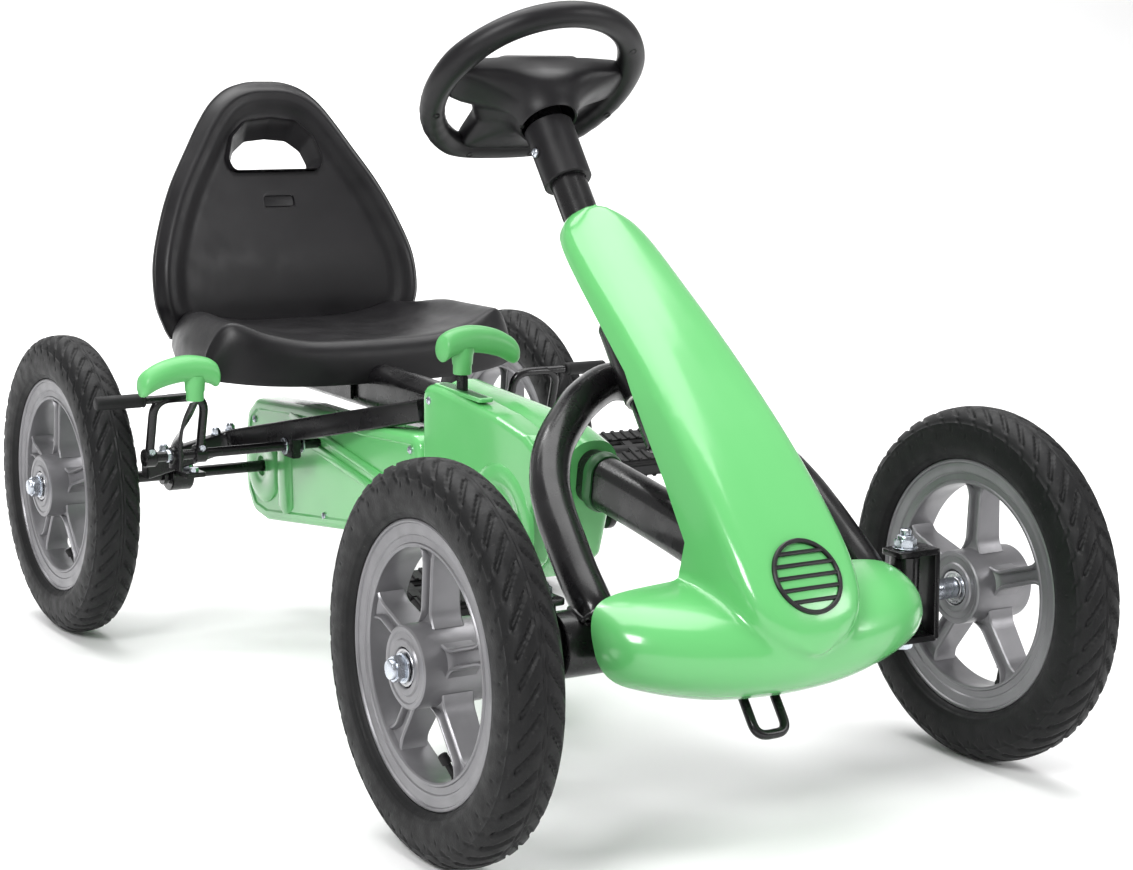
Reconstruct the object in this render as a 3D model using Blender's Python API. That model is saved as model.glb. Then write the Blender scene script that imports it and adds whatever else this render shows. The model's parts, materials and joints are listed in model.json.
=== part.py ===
"""Pedal go kart: tube frame, four spoked wheels, steering, pedal drive, hand brake and sliding seat.

Metres, +Z up. The kart drives towards -Y, the driver's left is +X, and the origin is on the ground
under the middle of the kart. Each sub-part is one object, and each moving group hangs on an empty
that sits on its joint's axis.
"""
import math

import bmesh
import bpy
from mathutils import Matrix, Vector

# Driving dimensions
GAP = 0.0003
WHEELBASE = 0.796
TRACK = 0.526
ROLLING_HEIGHT = 0.1525
WHEEL_STEPS = 28
TYRE_RADIUS = ROLLING_HEIGHT / math.cos(math.pi / WHEEL_STEPS)
TYRE_HALF_WIDTH = 0.0238
RIM_RADIUS = 0.1085
HUB_RADIUS = 0.0315
HUB_HALF_LENGTH = 0.031
BEARING_RADIUS = 0.0145
AXLE_RADIUS = 0.006
AXLE_END = 0.3035
SPOKES = 5

FRONT_Y = -WHEELBASE / 2
REAR_Y = WHEELBASE / 2
FRONT_AXLE_TUBE = 0.026
SADDLE_RADIUS = FRONT_AXLE_TUBE + 0.0005
KINGPIN_X = 0.178
KINGPIN_RADIUS = 0.005
ARM_LENGTH = 0.053
BALL_RADIUS = 0.006

COLUMN_TILT = math.radians(37.29)
COLUMN_RADIUS = 0.016
COLUMN_ROD = 0.006
WHEEL_HEIGHT_ON_COLUMN = 0.522
WHEEL_LEAN = math.radians(4)
STEERING_WHEEL_RADIUS = 0.0928
STEERING_RIM = 0.0115
WHEEL_FLAT = 0.0845

HOOP_RADIUS = 0.0165
BEAM_HALF_WIDTH = 0.015
BEAM_HALF_HEIGHT = 0.024
WALL = 0.0022

CRANK_Y = -0.11
CRANK_Z = 0.182
CRANK_LENGTH = 0.085
CRANK_ANGLE = math.radians(205)
PEDAL_X = 0.14
PEDAL_SIZE = (0.088, 0.060, 0.022)
CHAIN_X = -0.0345
CHAINRING_TEETH = 16
SPROCKET_TEETH = 12

BRAKE_Y = 0.262
BRAKE_Z = 0.198
BRAKE_BAR_Y = 0.246
BRAKE_BAR_Z = 0.258
LEVER_Y = -0.02
LEVER_PIVOT_Z = 0.228
LEVER_X = -0.035
KNOB_Y = 0.262
KNOB_Z = 0.262
SHELL = 0.003

COLOURS = {
    "green_shell": ((0.20, 0.58, 0.22), 0.28, 0.0),
    "green_grip": ((0.19, 0.55, 0.22), 0.36, 0.0),
    "black_paint": ((0.018, 0.017, 0.019), 0.30, 0.0),
    "black_plastic": ((0.022, 0.021, 0.023), 0.45, 0.0),
    "rim_grey": ((0.27, 0.27, 0.28), 0.42, 0.0),
    "tyre": ((0.020, 0.020, 0.022), 0.66, 0.0),
    "rubber": ((0.020, 0.020, 0.022), 0.60, 0.0),
    "zinc": ((0.62, 0.66, 0.70), 0.26, 1.0),
    "bearing_steel": ((0.52, 0.52, 0.54), 0.30, 1.0),
    "chain_steel": ((0.16, 0.15, 0.14), 0.40, 1.0),
    "nylon": ((0.70, 0.70, 0.68), 0.50, 0.0),
}


# Construction helpers

def clear_scene():
    for obj in list(bpy.data.objects):
        bpy.data.objects.remove(obj, do_unlink=True)


def material(slot):
    found = bpy.data.materials.get(slot)
    if found:
        return found
    colour, roughness, metallic = COLOURS[slot]
    made = bpy.data.materials.new(slot)
    made.use_nodes = True
    shader = made.node_tree.nodes["Principled BSDF"]
    shader.inputs["Base Color"].default_value = (*colour, 1.0)
    shader.inputs["Roughness"].default_value = roughness
    shader.inputs["Metallic"].default_value = metallic
    made.diffuse_color = (*colour, 1.0)
    return made


def shade(mesh):
    mesh.shade_smooth()
    mesh.set_sharp_from_angle(angle=math.radians(38))


def solid(name, bm, slot=None):
    """Turn a bmesh into an object with outward faces."""
    bmesh.ops.recalc_face_normals(bm, faces=bm.faces[:])
    mesh = bpy.data.meshes.new(name)
    bm.to_mesh(mesh)
    bm.free()
    if slot:
        mesh.materials.append(material(slot))
    shade(mesh)
    obj = bpy.data.objects.new(name, mesh)
    bpy.context.collection.objects.link(obj)
    return obj


def skin(rings, loop=False):
    """Join equal rings of points with quads, with a cap at each end unless they form a loop."""
    bm = bmesh.new()
    grid = [[bm.verts.new(point) for point in ring] for ring in rings]
    pairs = len(grid) if loop else len(grid) - 1
    for i in range(pairs):
        near, far = grid[i], grid[(i + 1) % len(grid)]
        for j in range(len(near)):
            k = (j + 1) % len(near)
            bm.faces.new((near[j], near[k], far[k], far[j]))
    if not loop:
        bm.faces.new(list(reversed(grid[0])))
        bm.faces.new(grid[-1])
    return bm


def circle(radius, count, phase=0.0):
    steps = [phase + 2 * math.pi * k / count for k in range(count)]
    return [(radius * math.cos(a), radius * math.sin(a)) for a in steps]


def turned(name, profile, slot=None, axis="X", count=16, phase=0.0):
    """A solid of revolution from (along, radius) points, capped at both ends."""
    rings = []
    for along, radius in profile:
        rings.append([axis_point(axis, along, u, v) for u, v in circle(radius, count, phase)])
    return solid(name, skin(rings), slot)


def ring_solid(name, profile, slot=None, axis="X", count=16, phase=0.0):
    """A ring turned from a closed outline of (along, radius) points."""
    rings = []
    for k in range(count):
        a = phase + 2 * math.pi * k / count
        ring = [axis_point(axis, s, r * math.cos(a), r * math.sin(a)) for s, r in profile]
        rings.append(ring)
    return solid(name, skin(rings, loop=True), slot)


def axis_point(axis, along, u, v):
    if axis == "X":
        return Vector((along, u, v))
    if axis == "Y":
        return Vector((v, along, u))
    return Vector((u, v, along))


def rod(name, start, end, radius, slot=None, count=12):
    """A straight round bar between two points."""
    start, end = Vector(start), Vector(end)
    direction = end - start
    turn = direction.to_track_quat("Z", "Y").to_matrix()
    rings = []
    for base in (start, end):
        rings.append([base + turn @ Vector((u, v, 0)) for u, v in circle(radius, count)])
    return solid(name, skin(rings), slot)


def box(name, low, high, slot=None, bevel=0.0):
    bm = bmesh.new()
    bmesh.ops.create_cube(bm, size=1.0)
    low, high = Vector(low), Vector(high)
    size = high - low
    for vert in bm.verts:
        vert.co = (low + high) / 2 + Vector((vert.co[i] * size[i] for i in range(3)))
    if bevel:
        bmesh.ops.bevel(bm, geom=bm.edges[:], offset=bevel, segments=1, affect="EDGES")
    return solid(name, bm, slot)


def prism(name, outline, start, end, slot=None, axis="X"):
    """Extrude a closed outline along an axis. On X the outline is (y, z), on Z it is (x, y)."""
    rings = [[axis_point(axis, s, u, v) for u, v in outline] for s in (start, end)]
    return solid(name, skin(rings), slot)


def smooth_path(points, steps=3):
    """A Catmull-Rom curve through the points, with a number of steps between each two."""
    points = [Vector(p) for p in points]
    ends = [2 * points[0] - points[1]] + points + [2 * points[-1] - points[-2]]
    path = []
    for a, b, c, d in zip(ends, ends[1:], ends[2:], ends[3:]):
        for k in range(steps):
            t = k / steps
            path.append(0.5 * (2 * b + (c - a) * t + (2 * a - 5 * b + 4 * c - d) * t * t
                               + (3 * b - a - 3 * c + d) * t ** 3))
    path.append(points[-1])
    return path


def rounded_path(points, radius, steps=4):
    """A polyline whose corners are rounded off with arcs of about the given radius."""
    points = [Vector(p) for p in points]
    path = [points[0]]
    for before, corner, after in zip(points, points[1:], points[2:]):
        to_before = (before - corner).normalized()
        to_after = (after - corner).normalized()
        cut = radius / math.tan(to_before.angle(to_after) / 2)
        start, end = corner + to_before * cut, corner + to_after * cut
        for k in range(steps + 1):
            t = k / steps
            path.append(start * (1 - t) ** 2 + corner * 2 * t * (1 - t) + end * t * t)
    path.append(points[-1])
    return path


def sweep(name, path, section, slot=None, inner=None, up=(0, 0, 1), loop=False):
    """Carry a section of (side, height) points along a path; an inner section makes it a tube."""
    path = [Vector(p) for p in path]
    up = Vector(up)
    outer_rings, inner_rings = [], []
    count = len(path)
    for i, point in enumerate(path):
        if loop:
            tangent = path[(i + 1) % count] - path[i - 1]
        else:
            tangent = path[min(i + 1, count - 1)] - path[max(i - 1, 0)]
        tangent.normalize()
        height = (up - up.dot(tangent) * tangent).normalized()
        side = tangent.cross(height)
        outer_rings.append([point + side * u + height * v for u, v in section])
        if inner:
            inner_rings.append([point + side * u + height * v for u, v in inner])
    if inner:
        return solid(name, skin(outer_rings + inner_rings[::-1], loop=True), slot)
    return solid(name, skin(outer_rings, loop=loop), slot)


def oval(half_width, half_height, count=16):
    """A tube section with flat sides and round top and bottom."""
    straight = half_height - half_width
    points = []
    for u, v in circle(half_width, count, math.pi / count):
        points.append((u, v + math.copysign(straight, v)))
    return points


def rectangle(half_width, half_height, corner):
    c = corner
    w, h = half_width, half_height
    return [(w, c - h), (w, h - c), (w - c, h), (c - w, h), (-w, h - c), (-w, c - h), (c - w, -h), (w - c, -h)]


def combine(base, others, operation):
    """Apply a Boolean of the other objects to the base and remove them."""
    for other in others:
        step = base.modifiers.new(operation.lower(), "BOOLEAN")
        step.operation = operation
        step.solver = "EXACT"
        step.object = other
    bpy.context.view_layer.update()
    graph = bpy.context.evaluated_depsgraph_get()
    mesh = bpy.data.meshes.new_from_object(base.evaluated_get(graph))
    base.modifiers.clear()
    base.data = mesh
    shade(mesh)
    for other in others:
        bpy.data.objects.remove(other, do_unlink=True)
    return base


def join(base, *others):
    return combine(base, others, "UNION")


def cut(base, *others):
    return combine(base, others, "DIFFERENCE")


def empty(name, location, rotation=(0, 0, 0)):
    made = bpy.data.objects.new(name, None)
    made.location = location
    made.rotation_euler = rotation
    bpy.context.collection.objects.link(made)
    return made


def hang(parent, *pieces):
    """Parent pieces to an empty; their own places are then in the empty's frame."""
    for piece in pieces:
        piece.parent = parent


def origin_at(obj, point):
    """Move an object's origin to a point and leave its shape where it is."""
    obj.data.transform(Matrix.Translation(-Vector(point)))
    obj.location = point
    return obj


def side_name(side):
    return "l" if side > 0 else "r"


# Wheels

def wheel_meshes():
    """Tyre, rim and bearing set, each turned about X around its own centre."""
    half = math.pi / WHEEL_STEPS
    r, w = TYRE_RADIUS, TYRE_HALF_WIDTH
    bead = RIM_RADIUS + GAP
    outer = [(0.0165, bead), (w, 0.122), (w - 0.001, 0.138), (0.0155, 0.1495), (0.007, r)]
    inner = [(0.0125, bead), (0.0185, 0.124), (0.0125, 0.145)]
    profile = outer + [(-x, y) for x, y in outer[::-1]] + [(-x, y) for x, y in inner] + inner[::-1]
    tyre = ring_solid("tyre_fr", profile, "tyre", count=WHEEL_STEPS, phase=half)

    edge, seat = 0.0165, RIM_RADIUS
    barrel = [(edge, seat), (-edge, seat), (-edge, 0.096), (-0.012, 0.087), (0.012, 0.087), (edge, 0.096)]
    rim = ring_solid("rim_fr", barrel, "rim_grey", count=WHEEL_STEPS, phase=half)
    h, bore, inset = HUB_HALF_LENGTH, 0.0088, 0.0225
    hub = [(-h, BEARING_RADIUS), (-h, HUB_RADIUS - 0.0015), (-h + 0.002, HUB_RADIUS)]
    hub += [(-x, y) for x, y in hub[::-1]] + [(inset, BEARING_RADIUS), (inset, bore)]
    hub += [(-inset, bore), (-inset, BEARING_RADIUS)]
    parts = [ring_solid("hub", hub, count=20)]
    for k in range(SPOKES):
        spoke = box("spoke", (-0.011, -0.0065, HUB_RADIUS - 0.005), (0.011, 0.0065, 0.0905))
        spoke.data.transform(Matrix.Rotation(2 * math.pi * k / SPOKES, 4, "X"))
        parts.append(spoke)
    join(rim, *parts)

    e, r_out = HUB_HALF_LENGTH - 0.0005, BEARING_RADIUS - GAP
    r_in, sleeve, lip = AXLE_RADIUS + GAP, bore - GAP, inset + GAP
    spool = [(-e, r_in), (-e, r_out), (-lip, r_out), (-lip, sleeve)]
    spool += [(lip, sleeve), (lip, r_out), (e, r_out), (e, r_in)]
    bearings = ring_solid("wheel_bearings_fr", spool, "bearing_steel", count=14)
    return tyre, rim, bearings


def make_wheels(hubs):
    """One set of wheel pieces on each of the four wheel empties."""
    first = wheel_meshes()
    for name, hub in hubs.items():
        for piece in first:
            copy = piece
            if name != "fr":
                copy = bpy.data.objects.new(piece.name.replace("_fr", "_" + name), piece.data)
                bpy.context.collection.objects.link(copy)
            hang(hub, copy)


def hexagon(name, start, end, radius, axis="X"):
    return turned(name, [(start, radius), (end, radius)], "zinc", axis, count=6)


# Front end

def make_front_axle():
    tube_half = 0.1668
    wall = [(-tube_half, FRONT_AXLE_TUBE), (tube_half, FRONT_AXLE_TUBE),
            (tube_half, FRONT_AXLE_TUBE - WALL), (-tube_half, FRONT_AXLE_TUBE - WALL)]
    axle = ring_solid("front_axle", wall, "black_paint", count=24)
    sleeves, bores = [], []
    for side in (-1, 1):
        plug = turned("plug", [(side * 0.158, 0.0245), (side * 0.1665, 0.0245)], count=24)
        pin = (side * KINGPIN_X, 0, 0)
        sleeve = rod("sleeve", (pin[0], 0, -0.0341), (pin[0], 0, 0.0341), 0.0125, count=16)
        bores.append(rod("bore", (pin[0], 0, -0.05), (pin[0], 0, 0.05), KINGPIN_RADIUS + GAP))
        sleeves += [plug, sleeve]
    join(axle, *sleeves)
    down = Vector((0, -math.sin(COLUMN_TILT), -math.cos(COLUMN_TILT)))
    bores.append(rod("column_bore", -down * 0.05, down * 0.05, COLUMN_ROD + 0.0005))
    cut(axle, *bores)
    axle.location = (0, FRONT_Y, ROLLING_HEIGHT)


HOOP_HALF = [  # x, y, z from the front axle up to the crown
    (-0.1330, -0.4050, 0.1700), (-0.1328, -0.4020, 0.1790), (-0.1303, -0.3760, 0.2000),
    (-0.1262, -0.3490, 0.2225),
    (-0.1220, -0.3280, 0.2390), (-0.1130, -0.3040, 0.2580), (-0.0960, -0.2800, 0.2790),
    (-0.0700, -0.2580, 0.2970),
    (-0.0380, -0.2370, 0.3130),
]
HOOP_CROWN = (0.0, -0.2225, 0.3220)


def make_hoop():
    """The arched tube that leans back from the front axle and carries the column sleeve."""
    axle = Vector((0, FRONT_Y, ROLLING_HEIGHT))
    points = HOOP_HALF + [HOOP_CROWN] + [(-x, y, z) for x, y, z in HOOP_HALF[::-1]]
    path = [Vector(point) - axle for point in points]
    hoop = sweep("hoop", path, circle(HOOP_RADIUS, 12), "black_paint", inner=circle(HOOP_RADIUS - WALL, 12))
    cut(hoop, rod("saddle", (-0.16, 0, 0), (0.16, 0, 0), SADDLE_RADIUS, count=24))
    hoop.location = axle


def make_column_bearing(column_frame):
    """Sleeve welded to the hoop, with a bush inside for the column."""
    low, high, outer, mid = 0.205, 0.276, 0.0200, 0.0185
    inner = COLUMN_RADIUS / math.cos(math.pi / 16) + GAP
    sleeve = ring_solid("column_sleeve", [(low, mid), (high, mid), (high, outer), (low, outer)],
                        "black_paint", "Z")
    bush = ring_solid("column_bush", [(low, inner), (high, inner), (high, mid - GAP), (low, mid - GAP)],
                      "nylon", "Z")
    hang(column_frame, sleeve, bush)


def make_steering(steering):
    """Column, lower steering crank, clamp collar, steering wheel and pad, in the column's own frame."""
    top, shoulder, bottom = 0.500, 0.160, -0.037
    profile = [(bottom, COLUMN_ROD), (shoulder, COLUMN_ROD), (shoulder, COLUMN_RADIUS), (top, COLUMN_RADIUS)]
    column = turned("steering_column", profile, "black_paint", "Z")

    outline = [(-0.022, -0.012), (0.022, -0.012), (0.022, 0.040), (0.010, 0.052), (-0.010, 0.052), (-0.022, 0.040)]
    plate = prism("steering_crank", outline, -0.033, -0.029, "black_paint", "Z")
    loop_path = rounded_path([(-0.015, 0, -0.0305), (-0.015, 0, -0.0985), (0.015, 0, -0.0985),
                              (0.015, 0, -0.0305)], 0.010)
    join(plate, sweep("loop", loop_path, circle(0.004, 8), up=(0, 1, 0)))
    cut(plate, rod("bore", (0, 0, -0.036), (0, 0, -0.026), COLUMN_ROD + GAP))

    inner = COLUMN_RADIUS + GAP
    collar_profile = [(0.4185, inner), (0.4765, inner), (0.4765, 0.0215), (0.4185, 0.0215)]
    collar = ring_solid("column_collar", collar_profile, "black_plastic", "Z")

    rim_path = [(x, min(y, WHEEL_FLAT), 0) for x, y in circle(STEERING_WHEEL_RADIUS, 32)]
    wheel = sweep("steering_wheel", rim_path, circle(STEERING_RIM, 8), "black_plastic", loop=True)
    half = [(0.088, 0.008), (0.048, 0.018), (0.039, 0.040), (0.041, WHEEL_FLAT)]
    spokes = half[::-1] + [(0.088, -0.026), (0.044, -0.029)]
    spider = [(-x, y) for x, y in spokes] + spokes[::-1]
    boss_profile = [(-0.0425, 0.0265), (-0.030, 0.031), (-0.005, 0.036)]
    join(wheel, prism("spokes", spider, -0.009, 0.006, axis="Z"), turned("boss", boss_profile, axis="Z"))
    half_pad = [(-0.035, 0.046), (-0.049, 0.002), (-0.040, -0.025)]
    pad_outline = half_pad + [(-x, y) for x, y in half_pad[::-1]]
    pad = prism("steering_pad", pad_outline, 0.0063, 0.015, "black_plastic", "Z")
    seat = Matrix.Translation((0, 0, WHEEL_HEIGHT_ON_COLUMN)) @ Matrix.Rotation(-WHEEL_LEAN, 4, "X")
    for piece in (wheel, pad):
        piece.data.transform(seat)
    cut(wheel, rod("socket", (0, 0, 0.460), (0, 0, 0.5005), COLUMN_RADIUS + GAP, count=16))
    hang(steering, column, plate, collar, wheel, pad)


def make_knuckle(side, frame):
    """Yoke, kingpin bolt and stub axle, around the kingpin's axis at axle height."""
    tag = side_name(side)
    web_in, web_out, arm = 0.0225, 0.0275, 0.0395
    reach_in = -0.0135

    def slab(name, x0, x1, y0, y1, z0, z1, slot=None):
        low, high = sorted((side * x0, side * x1))
        return box(name, (low, y0, z0), (high, y1, z1), slot)

    yoke = slab("knuckle_" + tag, web_in, web_out, -0.015, 0.015, -arm, arm, "black_paint")
    top = slab("top", reach_in, web_in + 0.002, -0.015, 0.015, arm - 0.005, arm)
    bottom = slab("bottom", reach_in, web_in + 0.002, -0.0149, 0.0149, -arm, 0.005 - arm)
    lever = slab("lever", -0.0095, 0.0095, 0.010, ARM_LENGTH + 0.009, -arm + 0.0002, 0.0048 - arm)
    join(yoke, top, bottom, lever)
    cut(yoke, rod("bore", (0, 0, -0.06), (0, 0, 0.06), KINGPIN_RADIUS + GAP))

    bolt = rod("kingpin_" + tag, (0, 0, -0.044), (0, 0, 0.050), KINGPIN_RADIUS, "zinc")
    head = hexagon("head", -arm - 0.0058, -arm - GAP, 0.0092, "Z")
    nut = hexagon("nut", arm + GAP, arm + 0.0085, 0.0095, "Z")
    join(bolt, head, nut)

    shoulder, inner_face = 0.009, TRACK / 2 - HUB_HALF_LENGTH - KINGPIN_X
    end = AXLE_END - KINGPIN_X
    nut_at = TRACK / 2 + HUB_HALF_LENGTH - KINGPIN_X + 0.001
    profile = [(web_out + GAP, shoulder), (inner_face - GAP, shoulder), (inner_face - GAP, AXLE_RADIUS),
               (end, AXLE_RADIUS)]
    stub = turned("stub_axle_" + tag, [(side * s, r) for s, r in profile], "zinc")
    join(stub, hexagon("nut", side * nut_at, side * (nut_at + 0.0085), 0.0098))
    hang(frame, yoke, bolt, stub)


def make_tie_rod(side, frame):
    """A rod with a ball at each end, from the knuckle's arm to the steering crank."""
    outer = Vector((0, 0, 0))
    inner = Vector((side * (0.012 - KINGPIN_X), -0.029, -0.0148))
    bar = rod("tie_rod_" + side_name(side), outer, inner, 0.004, "black_paint", 8)
    balls = []
    for centre in (outer, inner):
        steps = [(-0.95, 0.31), (-0.6, 0.8), (0, 1), (0.6, 0.8), (0.95, 0.31)]
        ball = turned("ball", [(BALL_RADIUS * s, BALL_RADIUS * r) for s, r in steps], axis="Z", count=10)
        ball.data.transform(Matrix.Translation(centre))
        balls.append(ball)
    join(bar, *balls)
    hang(frame, bar)


# Fairing

MASK_LINE = [  # front centre line (y, z), half width, depth of the side walls, dip of the way inwards in degrees
    (-0.1870, 0.4660, 0.0230, 0.013, 54), (-0.2045, 0.4532, 0.0385, 0.015, 54),
    (-0.2500, 0.4200, 0.0448, 0.019, 54),
    (-0.3300, 0.3620, 0.0488, 0.021, 52), (-0.4100, 0.2950, 0.0535, 0.036, 48),
    (-0.4700, 0.2350, 0.0560, 0.050, 34),
    (-0.4960, 0.2020, 0.0545, 0.055, 24), (-0.5075, 0.1830, 0.0490, 0.058, 18),
    (-0.5120, 0.1690, 0.0400, 0.058, 12),
    (-0.5125, 0.1580, 0.0280, 0.056, 6),
]
NOSE_STATIONS = [  # x, front y, half height, middle z
    (0.000, -0.5075, 0.0495, 0.1490), (0.050, -0.5040, 0.0480, 0.1500), (0.090, -0.4955, 0.0435, 0.1530),
    (0.120, -0.4835, 0.0385, 0.1560), (0.138, -0.4700, 0.0340, 0.1570), (0.148, -0.4570, 0.0265, 0.1575),
    (0.153, -0.4440, 0.0150, 0.1575),
]
FLARE = 0.0075


def mask_solid(name, inset, slot=None):
    """The upright mask as a closed loft; an inset one is smaller and breaks out of the back and top."""
    rings = []
    stations = MASK_LINE[:-1] if inset else MASK_LINE
    for i, (y, z, width, depth, dip) in enumerate(stations):
        inward = Vector((0, math.cos(math.radians(dip)), -math.sin(math.radians(dip))))
        centre = Vector((0, y, z))
        if inset and i == 0:
            centre += Vector((0, 0.008, 0.006))
        flare = FLARE * min(1.0, max(0.0, (0.43 - z) / 0.08))
        w = width - inset
        back = depth + (0.03 if inset else 0.0)
        section = [(0, inset - 0.004), (w - 0.012, inset), (w - 0.0035, inset + 0.0035), (w, inset + 0.008),
                   (w + flare, back)]
        ring = section + [(-x, d) for x, d in section[:0:-1]]
        rings.append([centre + Vector((x, 0, 0)) + inward * d for x, d in ring])
    return solid(name, skin(rings), slot)


def nose_solid(name, inset, slot=None):
    """The nose bar across the front axle, lofted from side to side."""
    stations = [(-x, y, h, z) for x, y, h, z in NOSE_STATIONS[:0:-1]] + NOSE_STATIONS
    back = -0.40 + (0.03 if inset else 0.0)
    rings = []
    for x, front, half, middle in stations:
        x = math.copysign(max(abs(x) - inset, 0), x)
        half = half - inset
        ring = []
        for k in range(9):
            a = math.pi * (k / 8 - 0.5)
            y = back - (back - front - inset) * math.cos(a) ** 0.7
            ring.append(Vector((x, y, middle + half * math.sin(a))))
        rings.append(ring)
    return solid(name, skin(rings), slot)


def make_fairing():
    shell = mask_solid("fairing", 0.0, "green_shell")
    nose = nose_solid("nose", 0.0)
    behind = [(-0.416, 0.203), (-0.436, 0.157), (-0.455, 0.104), (-0.470, 0.070), (-0.30, 0.070), (-0.30, 0.21)]
    cut(nose, prism("behind", behind, -0.2, 0.2))
    join(shell, nose)
    tube = rod("tube", (-0.18, FRONT_Y, ROLLING_HEIGHT), (0.18, FRONT_Y, ROLLING_HEIGHT),
               SADDLE_RADIUS, count=24)
    cut(shell, mask_solid("inside", SHELL), nose_solid("nose_inside", SHELL), tube)
    origin_at(shell, (0, FRONT_Y, ROLLING_HEIGHT))


# Frame

def beam_path():
    return smooth_path([(0, -0.395, 0.2005), (0, -0.300, 0.2180), (0, -0.200, 0.2330), (0, -0.100, 0.2450),
                        (0, 0.000, 0.2515), (0, 0.120, 0.2575), (0, 0.400, 0.2600)], steps=2)


def make_beam():
    section = oval(BEAM_HALF_WIDTH, BEAM_HALF_HEIGHT, 12)
    bore = oval(BEAM_HALF_WIDTH - WALL, BEAM_HALF_HEIGHT - WALL, 12)
    beam = sweep("main_beam", beam_path(), section, "black_paint", inner=bore)
    saddle = rod("saddle", (-0.05, FRONT_Y, ROLLING_HEIGHT), (0.05, FRONT_Y, ROLLING_HEIGHT),
                 SADDLE_RADIUS, count=24)
    axle = Vector((0, FRONT_Y, ROLLING_HEIGHT))
    up = Vector((0, math.sin(COLUMN_TILT), math.cos(COLUMN_TILT)))
    cut(beam, saddle, rod("bore", axle, axle + up * 0.12, COLUMN_ROD + 0.0005))


def stay_path(side):
    return rounded_path([(side * 0.0262, 0.070, 0.2575), (side * 0.100, 0.3620, 0.1900),
                         (side * 0.195, 0.3600, 0.1690)], 0.02, 3)


def make_rear_stay(side):
    """A bent box tube from the beam's side out to the rear axle, with a lug for the brake shaft."""
    stay = sweep("rear_stay_" + side_name(side), stay_path(side), rectangle(0.008, 0.011, 0.003), "black_paint")
    low, high = sorted((side * (BEAM_HALF_WIDTH + GAP), side * 0.0200))
    plate = box("plate", (low, 0.052, 0.2440), (high, 0.100, 0.2690))
    x = side * 0.0756
    lug = box("lug", (x - 0.005, BRAKE_Y - 0.012, BRAKE_Z - 0.012), (x + 0.005, BRAKE_Y + 0.012, 0.214))
    join(stay, plate, lug)
    cut(stay, rod("bore", (x - 0.01, BRAKE_Y, BRAKE_Z), (x + 0.01, BRAKE_Y, BRAKE_Z), 0.0055))


def make_bearing_block(side):
    x = side * 0.144
    block = turned("bearing_block_" + side_name(side), [(x - 0.012, 0.0175), (x + 0.012, 0.0175)], "black_paint")
    block.data.transform(Matrix.Translation((0, REAR_Y, ROLLING_HEIGHT)))
    flange = box("flange", (x - 0.011, 0.348, 0.1560), (x + 0.011, REAR_Y, 0.1610))
    join(block, flange)
    cut(block, rod("bore", (x - 0.02, REAR_Y, ROLLING_HEIGHT), (x + 0.02, REAR_Y, ROLLING_HEIGHT),
                   AXLE_RADIUS + 0.0005))


def make_crank_hanger():
    hanger = turned("crank_hanger", [(-0.029, 0.017), (0.029, 0.017)], "black_paint")
    hanger.data.transform(Matrix.Translation((0, CRANK_Y, CRANK_Z)))
    join(hanger, box("gusset", (-0.006, CRANK_Y - 0.014, CRANK_Z + 0.010), (0.006, CRANK_Y + 0.014, 0.2175)))
    cut(hanger, rod("bore", (-0.05, CRANK_Y, CRANK_Z), (0.05, CRANK_Y, CRANK_Z), 0.0075))


# Covers

COVER_TOP = [(0.036, 0.2925), (0.000, 0.2920), (-0.100, 0.2820), (-0.200, 0.2690)]
COVER_FRONT = [(-0.206, 0.2600), (-0.180, 0.2320), (-0.165, 0.2050), (-0.147, 0.1520), (-0.118, 0.1310)]
COVER_BOTTOM = [(-0.030, 0.1250), (0.036, 0.1340)]
CASE_OUTLINE = [(0.0385, 0.250), (0.070, 0.246), (0.160, 0.233), (0.300, 0.232), (0.415, 0.224), (0.438, 0.208),
                (0.446, 0.165), (0.441, 0.120), (0.424, 0.098), (0.390, 0.0935), (0.200, 0.117),
                (0.0385, 0.134)]


def shrunk(outline, inset):
    """Offset a closed outline inwards."""
    points = [Vector((y, z)) for y, z in outline]
    turn = sum(a.x * b.y - b.x * a.y for a, b in zip(points, points[1:] + points[:1]))
    sign = 1 if turn > 0 else -1
    result = []
    for i, point in enumerate(points):
        before = (point - points[i - 1]).normalized()
        after = (points[(i + 1) % len(points)] - point).normalized()
        normal = Vector((-before.y - after.y, before.x + after.x)).normalized() * sign
        stretch = max(normal.dot(Vector((-before.y, before.x)) * sign), 0.4)
        result.append(tuple(point + normal * inset / stretch))
    return result


def make_drive_cover():
    outline = COVER_TOP + COVER_FRONT + COVER_BOTTOM
    cover = prism("drive_cover", outline, -0.047, 0.042, "green_shell")
    hollow = [(y + (0.02 if y > 0.03 else 0), z) for y, z in shrunk(outline, SHELL)]
    hollow = [(y, z - (0.03 if z < 0.14 else 0)) for y, z in hollow]
    cavity = prism("cavity", hollow, -0.044, 0.039)
    beam = sweep("beam", beam_path(), oval(BEAM_HALF_WIDTH + 0.0006, BEAM_HALF_HEIGHT + 0.0006, 12))
    axle = rod("axle", (-0.06, CRANK_Y, CRANK_Z), (0.06, CRANK_Y, CRANK_Z), 0.010)
    slot = box("slot", (LEVER_X - 0.0045, -0.062, 0.26), (LEVER_X + 0.0045, 0.018, 0.31))
    cut(cover, cavity, beam, axle, slot)
    origin_at(cover, (0, CRANK_Y, CRANK_Z))


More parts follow.
